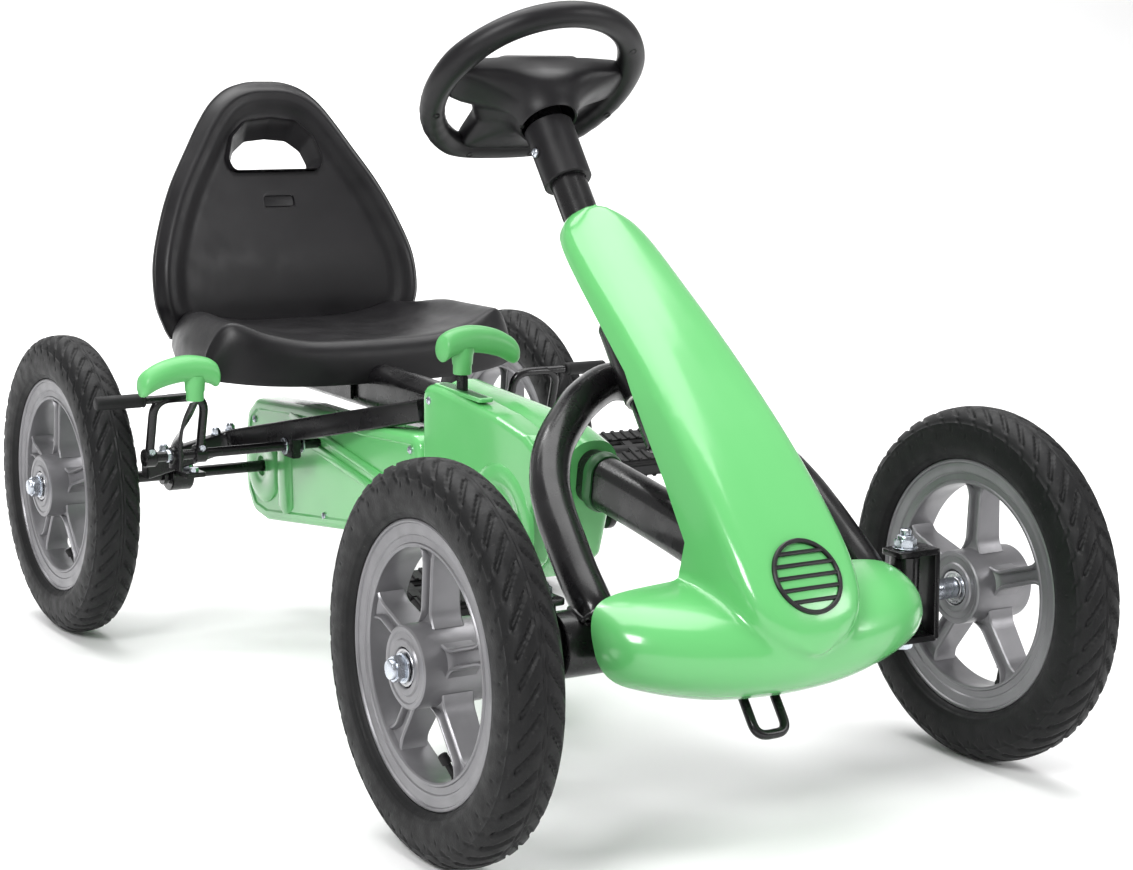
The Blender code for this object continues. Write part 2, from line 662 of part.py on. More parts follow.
def make_chain_case():
    case = prism("chain_case", CASE_OUTLINE, -0.0472, -0.0175, "green_shell")
    hollow = [(y - (0.02 if y < 0.05 else 0), z) for y, z in shrunk(CASE_OUTLINE, SHELL)]
    cavity = prism("cavity", hollow, -0.0442, -0.010)
    shaft = rod("shaft", (-0.06, BRAKE_Y, BRAKE_Z), (0, BRAKE_Y, BRAKE_Z), 0.0080)
    axle = rod("axle", (-0.06, REAR_Y, ROLLING_HEIGHT), (0, REAR_Y, ROLLING_HEIGHT), 0.0090)
    stay = sweep("stay", stay_path(-1), rectangle(0.0088, 0.0118, 0.003))
    plate = box("plate", (-0.0215, 0.030, 0.2425), (0, 0.1015, 0.280))
    cut(case, cavity, shaft, axle, stay, plate)
    origin_at(case, (0, REAR_Y, ROLLING_HEIGHT))


# Drive

def tooth_outline(teeth, radius, depth):
    points = []
    for k in range(2 * teeth):
        a = math.pi * (k + 0.5) / teeth
        r = radius if k % 2 else radius - depth
        points.append((r * math.cos(a), r * math.sin(a)))
    return points


def make_sprocket(name, teeth, radius, bore, frame):
    wheel = prism(name, tooth_outline(teeth, radius, 0.004), CHAIN_X - 0.0015, CHAIN_X + 0.0015, "chain_steel")
    cut(wheel, rod("bore", (-0.06, 0, 0), (0, 0, 0), bore))
    hang(frame, wheel)
    return wheel


def make_chain():
    """The chain as one closed band around both sprockets, clear of their teeth."""
    front = Vector((CHAIN_X, CRANK_Y, CRANK_Z))
    rear = Vector((CHAIN_X, REAR_Y, ROLLING_HEIGHT))
    big, small = 0.0330 + 0.003, 0.0255 + 0.003
    span = rear - front
    heading = math.atan2(span.z, span.y)
    lean = math.asin((big - small) / span.length)
    path = []
    turns = [(front, big, heading + math.pi / 2 - lean, math.pi + 2 * lean),
             (rear, small, heading - math.pi / 2 + lean, math.pi - 2 * lean)]
    for centre, radius, start, sweep_angle in turns:
        for k in range(9):
            a = start + sweep_angle * k / 8
            path.append(centre + Vector((0, math.cos(a), math.sin(a))) * radius)
    section = [(0.002, 0.0025), (-0.002, 0.0025), (-0.002, -0.0025), (0.002, -0.0025)]
    chain = sweep("chain", path, section, "chain_steel", up=(1, 0, 0), loop=True)
    origin_at(chain, front)


def make_crank(frame):
    """Crank axle, two flat arms and the pedal spindles as one forging, around its own axis."""
    direction = Vector((0, math.cos(CRANK_ANGLE), math.sin(CRANK_ANGLE)))
    crank = turned("crank", [(-0.068, 0.007), (0.068, 0.007)], "black_paint")
    parts = []
    for side in (-1, 1):
        reach = direction * CRANK_LENGTH * (-side)
        arm = prism("arm", crank_arm_outline(reach), side * 0.0620, side * 0.0700)
        spindle = rod("spindle", (side * 0.066, reach.y, reach.z),
                      (side * (PEDAL_X + PEDAL_SIZE[0] / 2 + 0.005), reach.y, reach.z), 0.0055)
        parts += [arm, spindle]
    join(crank, *parts)
    hang(frame, crank)
    return direction


def crank_arm_outline(reach):
    """Flat arm with round ends, from the crank's axis to the pedal spindle."""
    heading = math.atan2(reach.z, reach.y)
    points = []
    for centre, radius, turn in (((0, 0), 0.015, math.pi), ((reach.y, reach.z), 0.011, 0)):
        for k in range(7):
            a = heading + turn + math.pi * (k / 6 - 0.5)
            points.append((centre[0] + radius * math.cos(a), centre[1] + radius * math.sin(a)))
    return points


def make_pedal(side, frame):
    w, d, h = PEDAL_SIZE
    pedal = box("pedal_" + side_name(side), (-w / 2, -d / 2, -h / 2), (w / 2, d / 2, h / 2), "black_plastic", 0.004)
    cut(pedal, rod("bore", (-0.06, 0, 0), (0.06, 0, 0), 0.0060))
    hang(frame, pedal)


def make_rear_axle(frame):
    axle = rod("rear_axle", (-AXLE_END, 0, 0), (AXLE_END, 0, 0), AXLE_RADIUS, "zinc")
    start = TRACK / 2 + HUB_HALF_LENGTH + 0.001
    nuts = []
    for side in (-1, 1):
        nut = hexagon("rear_nut_" + side_name(side), side * start, side * (start + 0.0085), 0.0098)
        cut(nut, rod("bore", (-0.4, 0, 0), (0.4, 0, 0), AXLE_RADIUS + GAP))
        nuts.append(nut)
    hang(frame, axle, *nuts)


# Levers

def make_grip(name, frame, place, long_side):
    """A bowed T grip along X whose stem is off its middle; the longer end is on the given side."""
    points = [(-0.0235, -0.007), (-0.012, -0.001), (0.010, 0.002), (0.036, -0.003), (0.057, -0.014)]
    path = smooth_path([(long_side * x, 0, z) for x, z in points], steps=2)
    rings = []
    for i, point in enumerate(path):
        narrow = 0.62 if i in (0, len(path) - 1) else 1.0
        rings.append([point + Vector((0, u * narrow, v * narrow * 0.95)) for u, v in circle(0.0135, 10)])
    grip = solid(name, skin(rings), "green_grip")
    stem = turned("stem", [(-0.030, 0.0085), (-0.002, 0.0095)], axis="Z", count=10)
    join(grip, stem)
    grip.location = place
    hang(frame, grip)


def make_gear_lever(frame):
    top = 0.076
    bar = box("gear_lever", (-0.0025, -0.007, -0.010), (0.0025, 0.007, top), "black_paint", 0.001)
    pin = rod("pin", (0, 0, 0), (-LEVER_X - BEAM_HALF_WIDTH - 0.0005, 0, 0), 0.004)
    join(bar, pin)
    hang(frame, bar)
    make_grip("gear_grip", frame, (0, 0, top + 0.0305), 1)


def make_brake(frame):
    """Cross shaft, two bent arms with a pressing sleeve each, and the hand lever, around the shaft."""
    shaft = rod("brake_shaft", (-0.235, 0, 0), (0.235, 0, 0), 0.005, "black_paint")
    y, z = BRAKE_BAR_Y - BRAKE_Y, BRAKE_BAR_Z - BRAKE_Z
    foot = 0.0075
    inner_leg, outer_leg = 0.176, 0.229
    pieces = [shaft]
    for side in (-1, 1):
        tag = side_name(side)
        path = rounded_path([(side * inner_leg, foot * y / z, foot), (side * inner_leg, y, z),
                             (side * outer_leg, y, z), (side * outer_leg, foot * y / z, foot)], 0.016)
        arm = sweep("brake_arm_" + tag, path, circle(0.0045, 8), "black_paint", up=(0, 1, -y / z))
        bar = rod("bar", (side * 0.205, y, z), (side * 0.2885, y, z), 0.004, count=8)
        hubs = [ring_solid("hub", [(x - 0.006, 0.0053), (x + 0.006, 0.0053), (x + 0.006, 0.009), (x - 0.006, 0.009)],
                           count=10) for x in (side * inner_leg, side * outer_leg)]
        join(arm, bar, *hubs)
        low, high = sorted((side * 0.2395, side * 0.2890))
        sleeve = ring_solid("brake_sleeve_" + tag, [(low, 0.0043), (high, 0.0043), (high, 0.007), (low, 0.007)],
                            "rubber", count=10)
        sleeve.location = (0, y, z)
        pieces += [arm, sleeve]
    blade = [(-0.014, -0.014), (0.014, -0.014), (0.014, 0.010), (-0.046, 0.0615), (-0.058, 0.0615), (-0.016, 0.004)]
    lever = prism("brake_lever", blade, -0.2035, -0.1995, "black_paint")
    cut(lever, rod("bore", (-0.3, 0, 0), (0, 0, 0), 0.0053))
    pieces.append(lever)
    hang(frame, *pieces)
    make_grip("brake_grip", frame, (-0.2015, -0.052, 0.0920), -1)


# Seat

def sheet(name, rows, thickness, slot):
    """A shell grown from a grid of points by a Solidify modifier."""
    bm = bmesh.new()
    grid = [[bm.verts.new(point) for point in row] for row in rows]
    for near, far in zip(grid, grid[1:]):
        for j in range(len(near) - 1):
            bm.faces.new((near[j], near[j + 1], far[j + 1], far[j]))
    obj = solid(name, bm, slot)
    grow = obj.modifiers.new("thickness", "SOLIDIFY")
    grow.thickness = thickness
    grow.offset = -1.0
    grow.use_even_offset = True
    return obj


BACK_EDGE = [  # z, y of the edge, half width, hollow depth
    (0.304, 0.4150, 0.1450, 0.012), (0.330, 0.4150, 0.1540, 0.012), (0.370, 0.4230, 0.1530, 0.010),
    (0.410, 0.4360, 0.1405, 0.009), (0.450, 0.4500, 0.1220, 0.008), (0.490, 0.4640, 0.0965, 0.006),
    (0.515, 0.4720, 0.0800, 0.004), (0.533, 0.4770, 0.0660, 0.003), (0.545, 0.4800, 0.0525, 0.002),
    (0.5525, 0.4815, 0.0390, 0.001), (0.5580, 0.4830, 0.0200, 0.000),
]
ACROSS = [-1.0, -0.93, -0.75, -0.45, 0.0, 0.45, 0.75, 0.93, 1.0]


def make_seat_back():
    rows = []
    for z, y, width, hollow in BACK_EDGE:
        row = []
        for u in ACROSS:
            roll = 0.012 if abs(u) == 1.0 else 0.0
            row.append(Vector((u * width, y + hollow * (1 - u * u) + roll, z)))
        rows.append(row)
    back = sheet("seat_back", rows, 0.005, "black_plastic")
    half_hole = [(0.0500, -0.0150), (0.0550, -0.0030), (0.0470, 0.0220), (0.0290, 0.0390)]
    hole = prism("hand_hole", half_hole + [(-x, y) for x, y in half_hole[::-1]], 0.40, 0.60, axis="Z")
    hole.data.transform(Matrix.Translation((0, 0, 0.477)) @ Matrix.Rotation(math.radians(90), 4, "X")
                        @ Matrix.Translation((0, 0, -1.0)))
    cut(back, hole)
    return back


PAN_HALF_WIDTH = 0.1745
PAN_ACROSS = [(0.0, 0.3070), (0.070, 0.3090), (0.115, 0.3180), (0.150, 0.3290), (0.169, 0.3060),
              (PAN_HALF_WIDTH, 0.2800)]
PAN_ROWS = [  # y, share of the drop to the lip's lower edge, width scale, height scale of the bolsters
    (0.2100, 1.0, 0.985, 1.0), (0.2105, 0.55, 0.985, 1.0), (0.2150, 0.16, 0.99, 1.0), (0.2280, 0.0, 1.0, 1.0),
    (0.2600, 0.0, 0.995, 1.0), (0.3400, 0.0, 0.95, 1.0), (0.3850, 0.0, 0.88, 0.7), (0.4130, 0.0, 0.78, 0.6),
]


def make_seat_pan():
    rows = []
    across = [(-x, z) for x, z in PAN_ACROSS[:0:-1]] + PAN_ACROSS
    for y, drop, wide, high in PAN_ROWS:
        row = []
        for x, z in across:
            out = abs(x) / PAN_HALF_WIDTH
            lower_edge = 0.264 + 0.009 * out ** 3
            corner = 0.034 * out ** 4 if y < 0.22 else 0.0
            level = 0.307 + (z - 0.307) * high
            row.append(Vector((x * wide, y + corner, level + (lower_edge - z) * drop)))
        rows.append(row)
    pan = sheet("seat_pan", rows, 0.004, "black_plastic")
    return cut(pan, box("notch", (-0.0185, 0.18, 0.25), (0.0185, 0.235, 0.2865)))


def make_seat_bracket():
    """Channel that straddles the beam, with a strap that rises behind the seat back."""
    inner, outer = BEAM_HALF_WIDTH + 0.0005, BEAM_HALF_WIDTH + 0.0045
    bracket = box("seat_bracket", (-outer, 0.240, 0.244), (outer, 0.370, 0.2895), "black_paint")
    hollow = box("hollow", (-inner, 0.15, 0.20), (inner, 0.42, 0.2851))
    cut(bracket, hollow)
    rests = [box("rest", (-0.060, y, 0.2870), (0.060, y + 0.014, 0.3024)) for y in (0.258, 0.336)]
    join(bracket, *rests)
    path = rounded_path([(0, 0.355, 0.2875), (0, 0.4400, 0.2875), (0, 0.4450, 0.360), (0, 0.4650, 0.430)], 0.010, 3)
    join(bracket, sweep("strap", path, rectangle(0.020, 0.002, 0.0005)))
    cut(bracket, rod("bore", (0, KNOB_Y, KNOB_Z), (0.05, KNOB_Y, KNOB_Z), 0.0045))
    return bracket


def make_seat_knob(frame):
    lobes = []
    for k in range(20):
        a = 2 * math.pi * k / 20
        r = 0.0165 + 0.0018 * math.cos(5 * a)
        lobes.append((r * math.cos(a), r * math.sin(a)))
    knob = prism("seat_knob", lobes, 0.0225, 0.0365, "black_plastic")
    join(knob, rod("stud", (BEAM_HALF_WIDTH + 0.0005, 0, 0), (0.024, 0, 0), 0.004))
    hang(frame, knob)


# Assembly

def main():
    clear_scene()
    axle_point = (0, FRONT_Y, ROLLING_HEIGHT)
    column_frame = empty("column_frame", axle_point, (-COLUMN_TILT, 0, 0))
    steering = empty("steering", axle_point, (-COLUMN_TILT, 0, 0))

    make_front_axle()
    make_beam()
    make_hoop()
    make_column_bearing(column_frame)
    make_steering(steering)
    make_fairing()
    make_crank_hanger()
    make_drive_cover()
    make_chain_case()

    rear = empty("rear_axle_pivot", (0, REAR_Y, ROLLING_HEIGHT))
    make_rear_axle(rear)
    hubs = {"fr": None, "fl": None, "rr": None, "rl": None}
    for name in hubs:
        side = 1 if name[1] == "l" else -1
        y = FRONT_Y if name[0] == "f" else REAR_Y
        hubs[name] = empty("wheel_" + name, (side * TRACK / 2, y, ROLLING_HEIGHT))
    make_wheels(hubs)

    for side in (-1, 1):
        kingpin = empty("kingpin_" + side_name(side) + "_pivot", (side * KINGPIN_X, FRONT_Y, ROLLING_HEIGHT))
        make_knuckle(side, kingpin)
        ball_z = ROLLING_HEIGHT - 0.0395 + 0.005 + BALL_RADIUS + 0.0005
        ball = empty("tie_rod_pivot_" + side_name(side), (side * KINGPIN_X, FRONT_Y + ARM_LENGTH, ball_z))
        make_tie_rod(side, ball)
        make_rear_stay(side)
        make_bearing_block(side)

    crank_frame = empty("crank_pivot", (0, CRANK_Y, CRANK_Z))
    direction = make_crank(crank_frame)
    make_sprocket("chainring", CHAINRING_TEETH, 0.0330, 0.0073, crank_frame)
    make_sprocket("rear_sprocket", SPROCKET_TEETH, 0.0255, AXLE_RADIUS + GAP, rear)
    make_chain()
    for side in (-1, 1):
        reach = direction * CRANK_LENGTH * (-side)
        spot = Vector((side * PEDAL_X, CRANK_Y, CRANK_Z)) + reach
        make_pedal(side, empty("pedal_pivot_" + side_name(side), spot, (math.radians(20), 0, 0)))

    make_gear_lever(empty("gear_pivot", (LEVER_X, LEVER_Y, LEVER_PIVOT_Z)))
    make_brake(empty("brake_pivot", (0, BRAKE_Y, BRAKE_Z)))

    seat = empty("seat_slide", (0, 0, 0))
    hang(seat, make_seat_back(), make_seat_pan(), make_seat_bracket())
    make_seat_knob(empty("knob_pivot", (0, KNOB_Y, KNOB_Z)))


main()
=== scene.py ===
"""Looks of the pedal go kart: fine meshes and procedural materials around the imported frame.

Metres, +Z up, driving towards -Y, driver's left at +X. Each piece rides on its CAD node's body.
"""
import json
from math import asin, atan2, copysign, cos, degrees, exp, hypot, pi, radians, sin, sqrt, tan, tanh

import bmesh
import bpy
from mathutils import Matrix, Vector


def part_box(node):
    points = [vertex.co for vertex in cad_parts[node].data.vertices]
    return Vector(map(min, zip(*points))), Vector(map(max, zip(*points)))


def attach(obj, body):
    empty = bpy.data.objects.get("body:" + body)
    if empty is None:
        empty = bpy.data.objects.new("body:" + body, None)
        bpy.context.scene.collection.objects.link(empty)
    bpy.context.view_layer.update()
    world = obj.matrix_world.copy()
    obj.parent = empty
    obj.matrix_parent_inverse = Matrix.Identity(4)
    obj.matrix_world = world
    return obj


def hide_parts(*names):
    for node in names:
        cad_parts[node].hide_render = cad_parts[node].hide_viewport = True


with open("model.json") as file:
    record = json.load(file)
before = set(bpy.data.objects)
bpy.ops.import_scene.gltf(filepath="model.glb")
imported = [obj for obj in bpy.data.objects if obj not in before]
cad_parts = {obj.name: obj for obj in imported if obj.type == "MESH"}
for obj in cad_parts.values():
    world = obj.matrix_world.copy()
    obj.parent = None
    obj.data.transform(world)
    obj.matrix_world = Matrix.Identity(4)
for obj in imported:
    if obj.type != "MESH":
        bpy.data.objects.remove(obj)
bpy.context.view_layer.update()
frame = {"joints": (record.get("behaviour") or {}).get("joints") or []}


# Placing

at = Matrix.Translation


def shifted(x=0.0, y=0.0, z=0.0):
    return at((x, y, z))


def spun(angle, axis="X"):
    return Matrix.Rotation(radians(angle), 4, axis)


def angles_of(count):
    """The angles of count even steps round a circle."""
    return [2 * pi * k / count for k in range(count)]


def mirrored(half):
    """A profile of (along, radius) points followed by its mirror image."""
    return half + [(-s, r) for s, r in half[::-1]]


# Places, read from the frame
WHEEL_CENTRES = {}
for corner in ("fr", "fl", "rr", "rl"):
    low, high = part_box("rim_" + corner)
    WHEEL_CENTRES[corner] = (low + high) / 2
AXLE_Z = WHEEL_CENTRES["fr"].z
FRONT_Y, REAR_Y = WHEEL_CENTRES["fr"].y, WHEEL_CENTRES["rr"].y
WHEEL_X = WHEEL_CENTRES["fl"].x
JOINT = {joint["name"]: joint for joint in frame["joints"]}
COLUMN_AXIS = Vector(JOINT["steering_turn"]["axis"])
COLUMN_TILT = atan2(COLUMN_AXIS.y, COLUMN_AXIS.z)
COLUMN_FRAME = at((0, FRONT_Y, AXLE_Z)) @ Matrix.Rotation(-COLUMN_TILT, 4, "X")
CRANK = Vector(JOINT["crank_spin"]["pos_m"])
PEDALS = {side: Vector(JOINT["pedal_" + side + "_spin"]["pos_m"]) for side in "rl"}
KINGPINS = {side: Vector(JOINT["kingpin_" + side + "_turn"]["pos_m"]) for side in "rl"}
BRAKE = Vector(JOINT["brake_pull"]["pos_m"])
GEAR = Vector(JOINT["gear_lever_shift"]["pos_m"])
KNOB = Vector(JOINT["seat_knob_turn"]["pos_m"])
SIGN = {"r": -1, "l": 1}

# Sizes shared by several pieces
AXLE_END = 0.3035
TUBE_RADIUS = 0.026
HUB_HALF_LENGTH = 0.031


# Materials

def node_material(name):
    """A material with its node tree, its shader and the place on the piece."""
    made = bpy.data.materials.new(name)
    made.use_nodes = True
    tree = made.node_tree
    return made, tree, tree.nodes["Principled BSDF"], tree.nodes.new("ShaderNodeTexCoord").outputs["Object"]


def noise(tree, where, scale, detail=3.0, distortion=0.0):
    node = tree.nodes.new("ShaderNodeTexNoise")
    node.inputs["Scale"].default_value = scale
    node.inputs["Detail"].default_value = detail
    node.inputs["Distortion"].default_value = distortion
    tree.links.new(where, node.inputs["Vector"])
    return node.outputs["Fac"]


def between(tree, factor, low, high, start=0.35, end=0.65):
    """A number or a colour that runs from low to high as the factor crosses from start to end."""
    ramp = tree.nodes.new("ShaderNodeValToRGB")
    colours = [c if isinstance(c, tuple) else (c, c, c) for c in (low, high)]
    for element, place, colour in zip(ramp.color_ramp.elements, (start, end), colours):
        element.position = place
        element.color = (*colour, 1.0)
    tree.links.new(factor, ramp.inputs["Fac"])
    return ramp.outputs["Color"]


FINISH = {}


def surface(name, dark, light, rough, blotch=9.0, grain=600.0, bump=0.05, metallic=0.0, coat=0.0,
            depth=0.0004, speck=None, specular=0.5):
    """A moulded, painted or plated finish: slow colour drift, uneven gloss and a fine relief."""
    made, tree, shader, where = node_material(name)
    slow = noise(tree, where, blotch, 4.0, 0.4)
    fine = noise(tree, where, grain, 2.0)
    colour = between(tree, slow, dark, light)
    if speck:
        spots = noise(tree, where, speck[1], 2.0)
        mix = tree.nodes.new("ShaderNodeMix")
        mix.data_type = "RGBA"
        tree.links.new(between(tree, spots, 0.0, 1.0, speck[2], speck[2] + 0.08), mix.inputs["Factor"])
        tree.links.new(colour, mix.inputs["A"])
        mix.inputs["B"].default_value = (*speck[0], 1.0)
        colour = mix.outputs["Result"]
    tree.links.new(colour, shader.inputs["Base Color"])
    tree.links.new(between(tree, noise(tree, where, blotch * 3.7, 5.0), rough[0], rough[1]),
                   shader.inputs["Roughness"])
    relief = tree.nodes.new("ShaderNodeBump")
    relief.inputs["Strength"].default_value = bump
    relief.inputs["Distance"].default_value = depth
    tree.links.new(fine, relief.inputs["Height"])
    tree.links.new(relief.outputs["Normal"], shader.inputs["Normal"])
    shader.inputs["Metallic"].default_value = metallic
    shader.inputs["Coat Weight"].default_value = coat
    shader.inputs["Coat Roughness"].default_value = 0.12
    shader.inputs["Specular IOR Level"].default_value = specular
    FINISH[name] = made


surface("green_shell", (0.112, 0.445, 0.135), (0.13, 0.485, 0.155), (0.2, 0.27), 3.0, 900, 0.03, coat=0.5,
        specular=0.45)
# Dark green: on the drive cover's lever slot this colour is painted shade, a thin sheet standing where the
# dark opening would be.
surface("green_dark", (0.016, 0.095, 0.024), (0.026, 0.13, 0.036), (0.4, 0.5), 5.0, 700, 0.1)
surface("green_grip", (0.105, 0.4, 0.125), (0.125, 0.44, 0.145), (0.32, 0.42), 12.0, 1400, 0.1,
        specular=0.35)
surface("black_paint", (0.0045, 0.0042, 0.0048), (0.008, 0.0074, 0.0082), (0.22, 0.33), 14.0, 1100, 0.1,
        coat=0.2, specular=0.32)
surface("black_plastic", (0.0055, 0.005, 0.006), (0.0095, 0.0088, 0.01), (0.34, 0.44), 10.0, 1500, 0.2,
        specular=0.3)
surface("tread_plastic", (0.007, 0.0068, 0.0072), (0.012, 0.0115, 0.012), (0.48, 0.6), 22.0, 900, 0.35,
        specular=0.25)
surface("rim_grey", (0.17, 0.168, 0.176), (0.215, 0.212, 0.222), (0.3, 0.42), 16.0, 1300, 0.14,
        metallic=0.55)
surface("tyre", (0.0045, 0.0046, 0.005), (0.0085, 0.0084, 0.0088), (0.46, 0.6), 26.0, 700, 0.3,
        depth=0.0005, speck=((0.022, 0.021, 0.02), 320.0, 0.68), specular=0.22)
surface("rubber", (0.005, 0.005, 0.0055), (0.0095, 0.0092, 0.0095), (0.5, 0.62), 30.0, 800, 0.3,
        specular=0.25)
surface("zinc", (0.46, 0.49, 0.54), (0.62, 0.66, 0.72), (0.18, 0.34), 40.0, 1600, 0.15, 1.0)
surface("bearing_steel", (0.34, 0.34, 0.35), (0.52, 0.52, 0.54), (0.24, 0.4), 60.0, 1800, 0.12, 1.0)
surface("chain_steel", (0.09, 0.08, 0.07), (0.19, 0.18, 0.16), (0.32, 0.52), 55.0, 1500, 0.2, 1.0)
surface("nylon", (0.6, 0.6, 0.57), (0.7, 0.7, 0.67), (0.42, 0.54), 30.0, 1200, 0.12)


# Shapes

class Shape:
    """Points and faces of one piece, gathered from several forms with a main finish."""

    def __init__(self, finish=None):
        self.points, self.faces, self.finishes = [], [], []
        self.main_finish, self.names = finish, []

    def add(self, form, finish=None, place=None):
        points, faces = form
        start = len(self.points)
        finish = finish or self.main_finish
        if finish not in self.names:
            self.names.append(finish)
        number = self.names.index(finish)
        self.points += [(place @ Vector(p)) if place else Vector(p) for p in points]
        self.faces += [tuple(start + i for i in face) for face in faces]
        self.finishes += [number] * len(faces)
        return self

    def mesh(self, name, crease=32.0):
        mesh = bpy.data.meshes.new(name)
        mesh.from_pydata([tuple(p) for p in self.points], [], self.faces)
        for finish in self.names:
            mesh.materials.append(FINISH[finish])
        mesh.polygons.foreach_set("material_index", self.finishes)
        bm = bmesh.new()
        bm.from_mesh(mesh)
        bmesh.ops.remove_doubles(bm, verts=bm.verts[:], dist=1e-6)
        bmesh.ops.recalc_face_normals(bm, faces=bm.faces[:])
        bm.to_mesh(mesh)
        bm.free()
        mesh.shade_smooth()
        mesh.set_sharp_from_angle(angle=radians(crease))
        return mesh


def piece(name, form, body, slot, *nodes, place=None, crease=32.0):
    """Link a form as a piece that rides on a body and stands for CAD nodes."""
    made = linked(name, form.mesh(name, crease) if isinstance(form, Shape) else form)
    if place is not None:
        made.matrix_world = place
    hand_over(made, body, slot, *nodes)


def linked(name, data):
    made = bpy.data.objects.new(name, data)
    bpy.context.scene.collection.objects.link(made)
    return made


def hand_over(made, body, slot, *nodes):
    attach(made, body)
    if nodes:
        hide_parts(*nodes)


def modify(made, kind, **settings):
    """Add a modifier with its settings to an object."""
    step = made.modifiers.new(kind.lower(), kind)
    for name, value in settings.items():
        setattr(step, name, value)


def net(rows, around=True, along=False, ends=True):
    """Faces over rows of points: around closes each row, along joins the last row to the first."""
    size = len(rows[0])
    points = [point for row in rows for point in row]
    faces = []
    for i in range(len(rows) if along else len(rows) - 1):
        near, far = i * size, ((i + 1) % len(rows)) * size
        for j in range(size if around else size - 1):
            k = (j + 1) % size
            faces.append((near + j, near + k, far + k, far + j))
    if ends and around and not along:
        faces.append(tuple(range(size))[::-1])
        faces.append(tuple(range(len(points) - size, len(points))))
    return points, faces


def turn(axis, along, u, v):
    return {"X": Vector((along, u, v)), "Y": Vector((v, along, u)), "Z": Vector((u, v, along))}[axis]


def circle(axis, along, radii):
    """A row of points round an axis, with a radius for each."""
    return [turn(axis, along, r * cos(a), r * sin(a)) for r, a in zip(radii, angles_of(len(radii)))]


def lathe(profile, axis="X", count=48, hollow=False):
    """Turn (along, radius) points round an axis; hollow joins the last point to the first."""
    rows = [circle(axis, along, [radius] * count) for along, radius in profile]
    return net(rows, along=hollow, ends=not hollow)


def tube(start, end, inner, outer, edge, axis="X", count=48):
    """A hollow round bar with bevelled rims."""
    profile = [(start, inner), (start, outer - edge), (start + edge, outer)]
    profile += [(end - edge, outer), (end, outer - edge), (end, inner)]
    return lathe(profile, axis, count, hollow=True)


def rounded_cylinder(start, end, radius, edge=0.001, axis="X", count=32):
    """A closed round bar with rounded rims."""
    low, high = min(start, end), max(start, end)
    near = [(low + edge * (1 - cos(a)), radius - edge * (1 - sin(a))) for a in (0, pi / 6, pi / 3, pi / 2)]
    return lathe(near + [(low + high - s, r) for s, r in near[::-1]], axis, count)


def catmull(a, b, c, d, t):
    """The Catmull-Rom curve from b to c, at a share t of the way; a and d are the points beside them."""
    square, cube = 2 * a - 5 * b + 4 * c - d, 3 * b - a - 3 * c + d
    return 0.5 * (2 * b + (c - a) * t + square * t * t + cube * t ** 3)


def spline(points, steps):
    """A Catmull-Rom curve through points or tuples of numbers."""
    points = [Vector(p) for p in points]
    ends = [2 * points[0] - points[1]] + points + [2 * points[-1] - points[-2]]
    path = []
    for a, b, c, d in zip(ends, ends[1:], ends[2:], ends[3:]):
        for k in range(steps):
            t = k / steps
            path.append(catmull(a, b, c, d, t))
    path.append(points[-1])
    return path


def bent(points, radius, steps=8):
    """A polyline with its corners rounded off by about the given radius."""
    points = [Vector(p) for p in points]
    path = [points[0]]
    for before, corner, after in zip(points, points[1:], points[2:]):
        to_before, to_after = (before - corner).normalized(), (after - corner).normalized()
        cut = radius / tan(to_before.angle(to_after) / 2)
        start, end = corner + to_before * cut, corner + to_after * cut
        path += [start * (1 - t) ** 2 + corner * 2 * t * (1 - t) + end * t * t
                 for t in (k / steps for k in range(steps + 1))]
    path.append(points[-1])
    return path


def ring_outline(radius, count=20, width=None):
    """A circle, or an ellipse when a width is given, as (side, height) points."""
    width = radius if width is None else width
    return [(width * cos(a), radius * sin(a)) for a in angles_of(count)]


def soft_box(half_width, half_height, corner, steps=4):
    """A rectangle section with round corners."""
    points = []
    for quarter, (sx, sy) in enumerate(((1, 1), (-1, 1), (-1, -1), (1, -1))):
        for k in range(steps + 1):
            a = pi / 2 * (quarter + k / steps)
            points.append((sx * (half_width - corner) + corner * cos(a), sy * (half_height - corner)
                           + corner * sin(a)))
    return points


def sweep(path, section, up=(0, 0, 1), loop=False, scale=None):
    """Carry a section along a path; scale gives a factor for each point of the path."""
    path, up, rows = [Vector(p) for p in path], Vector(up), []
    count = len(path)
    for i, point in enumerate(path):
        ahead = path[(i + 1) % count] if loop else path[min(i + 1, count - 1)]
        behind = path[i - 1] if loop or i else path[0]
        tangent = (ahead - behind).normalized()
        height = (up - up.dot(tangent) * tangent).normalized()
        side = tangent.cross(height)
        size = scale[i] if scale else 1.0
        rows.append([point + (side * u + height * v) * size for u, v in section])
    return net(rows, along=loop)


def offset(outline, inset):
    """Move a closed outline inwards by a distance."""
    points = [Vector(p) for p in outline]
    turning = sum(a.x * b.y - b.x * a.y for a, b in zip(points, points[1:] + points[:1]))
    sign = 1 if turning > 0 else -1
    result = []
    for i, point in enumerate(points):
        before = (point - points[i - 1]).normalized()
        after = (points[(i + 1) % len(points)] - point).normalized()
        normal = Vector((-before.y - after.y, before.x + after.x)).normalized() * sign
        stretch = max(normal.dot(Vector((-before.y, before.x)) * sign), 0.5)
        result.append(point + normal * inset / stretch)
    return result


def plate(outline, start, end, edge=0.001, axis="X", steps=3):
    """An extruded outline whose two rims are rounded."""
    low, high = min(start, end), max(start, end)
    angles = [pi / 2 * k / steps for k in range(steps + 1)]
    rim = [(edge * (1 - cos(a)), edge * (1 - sin(a))) for a in angles]
    rows = []
    for s, inset in [(low + s, i) for s, i in rim] + [(high - s, i) for s, i in rim[::-1]]:
        ring = offset(outline, inset) if inset > 1e-9 else [Vector(p) for p in outline]
        rows.append([turn(axis, s, p.x, p.y) for p in ring])
    return net(rows)


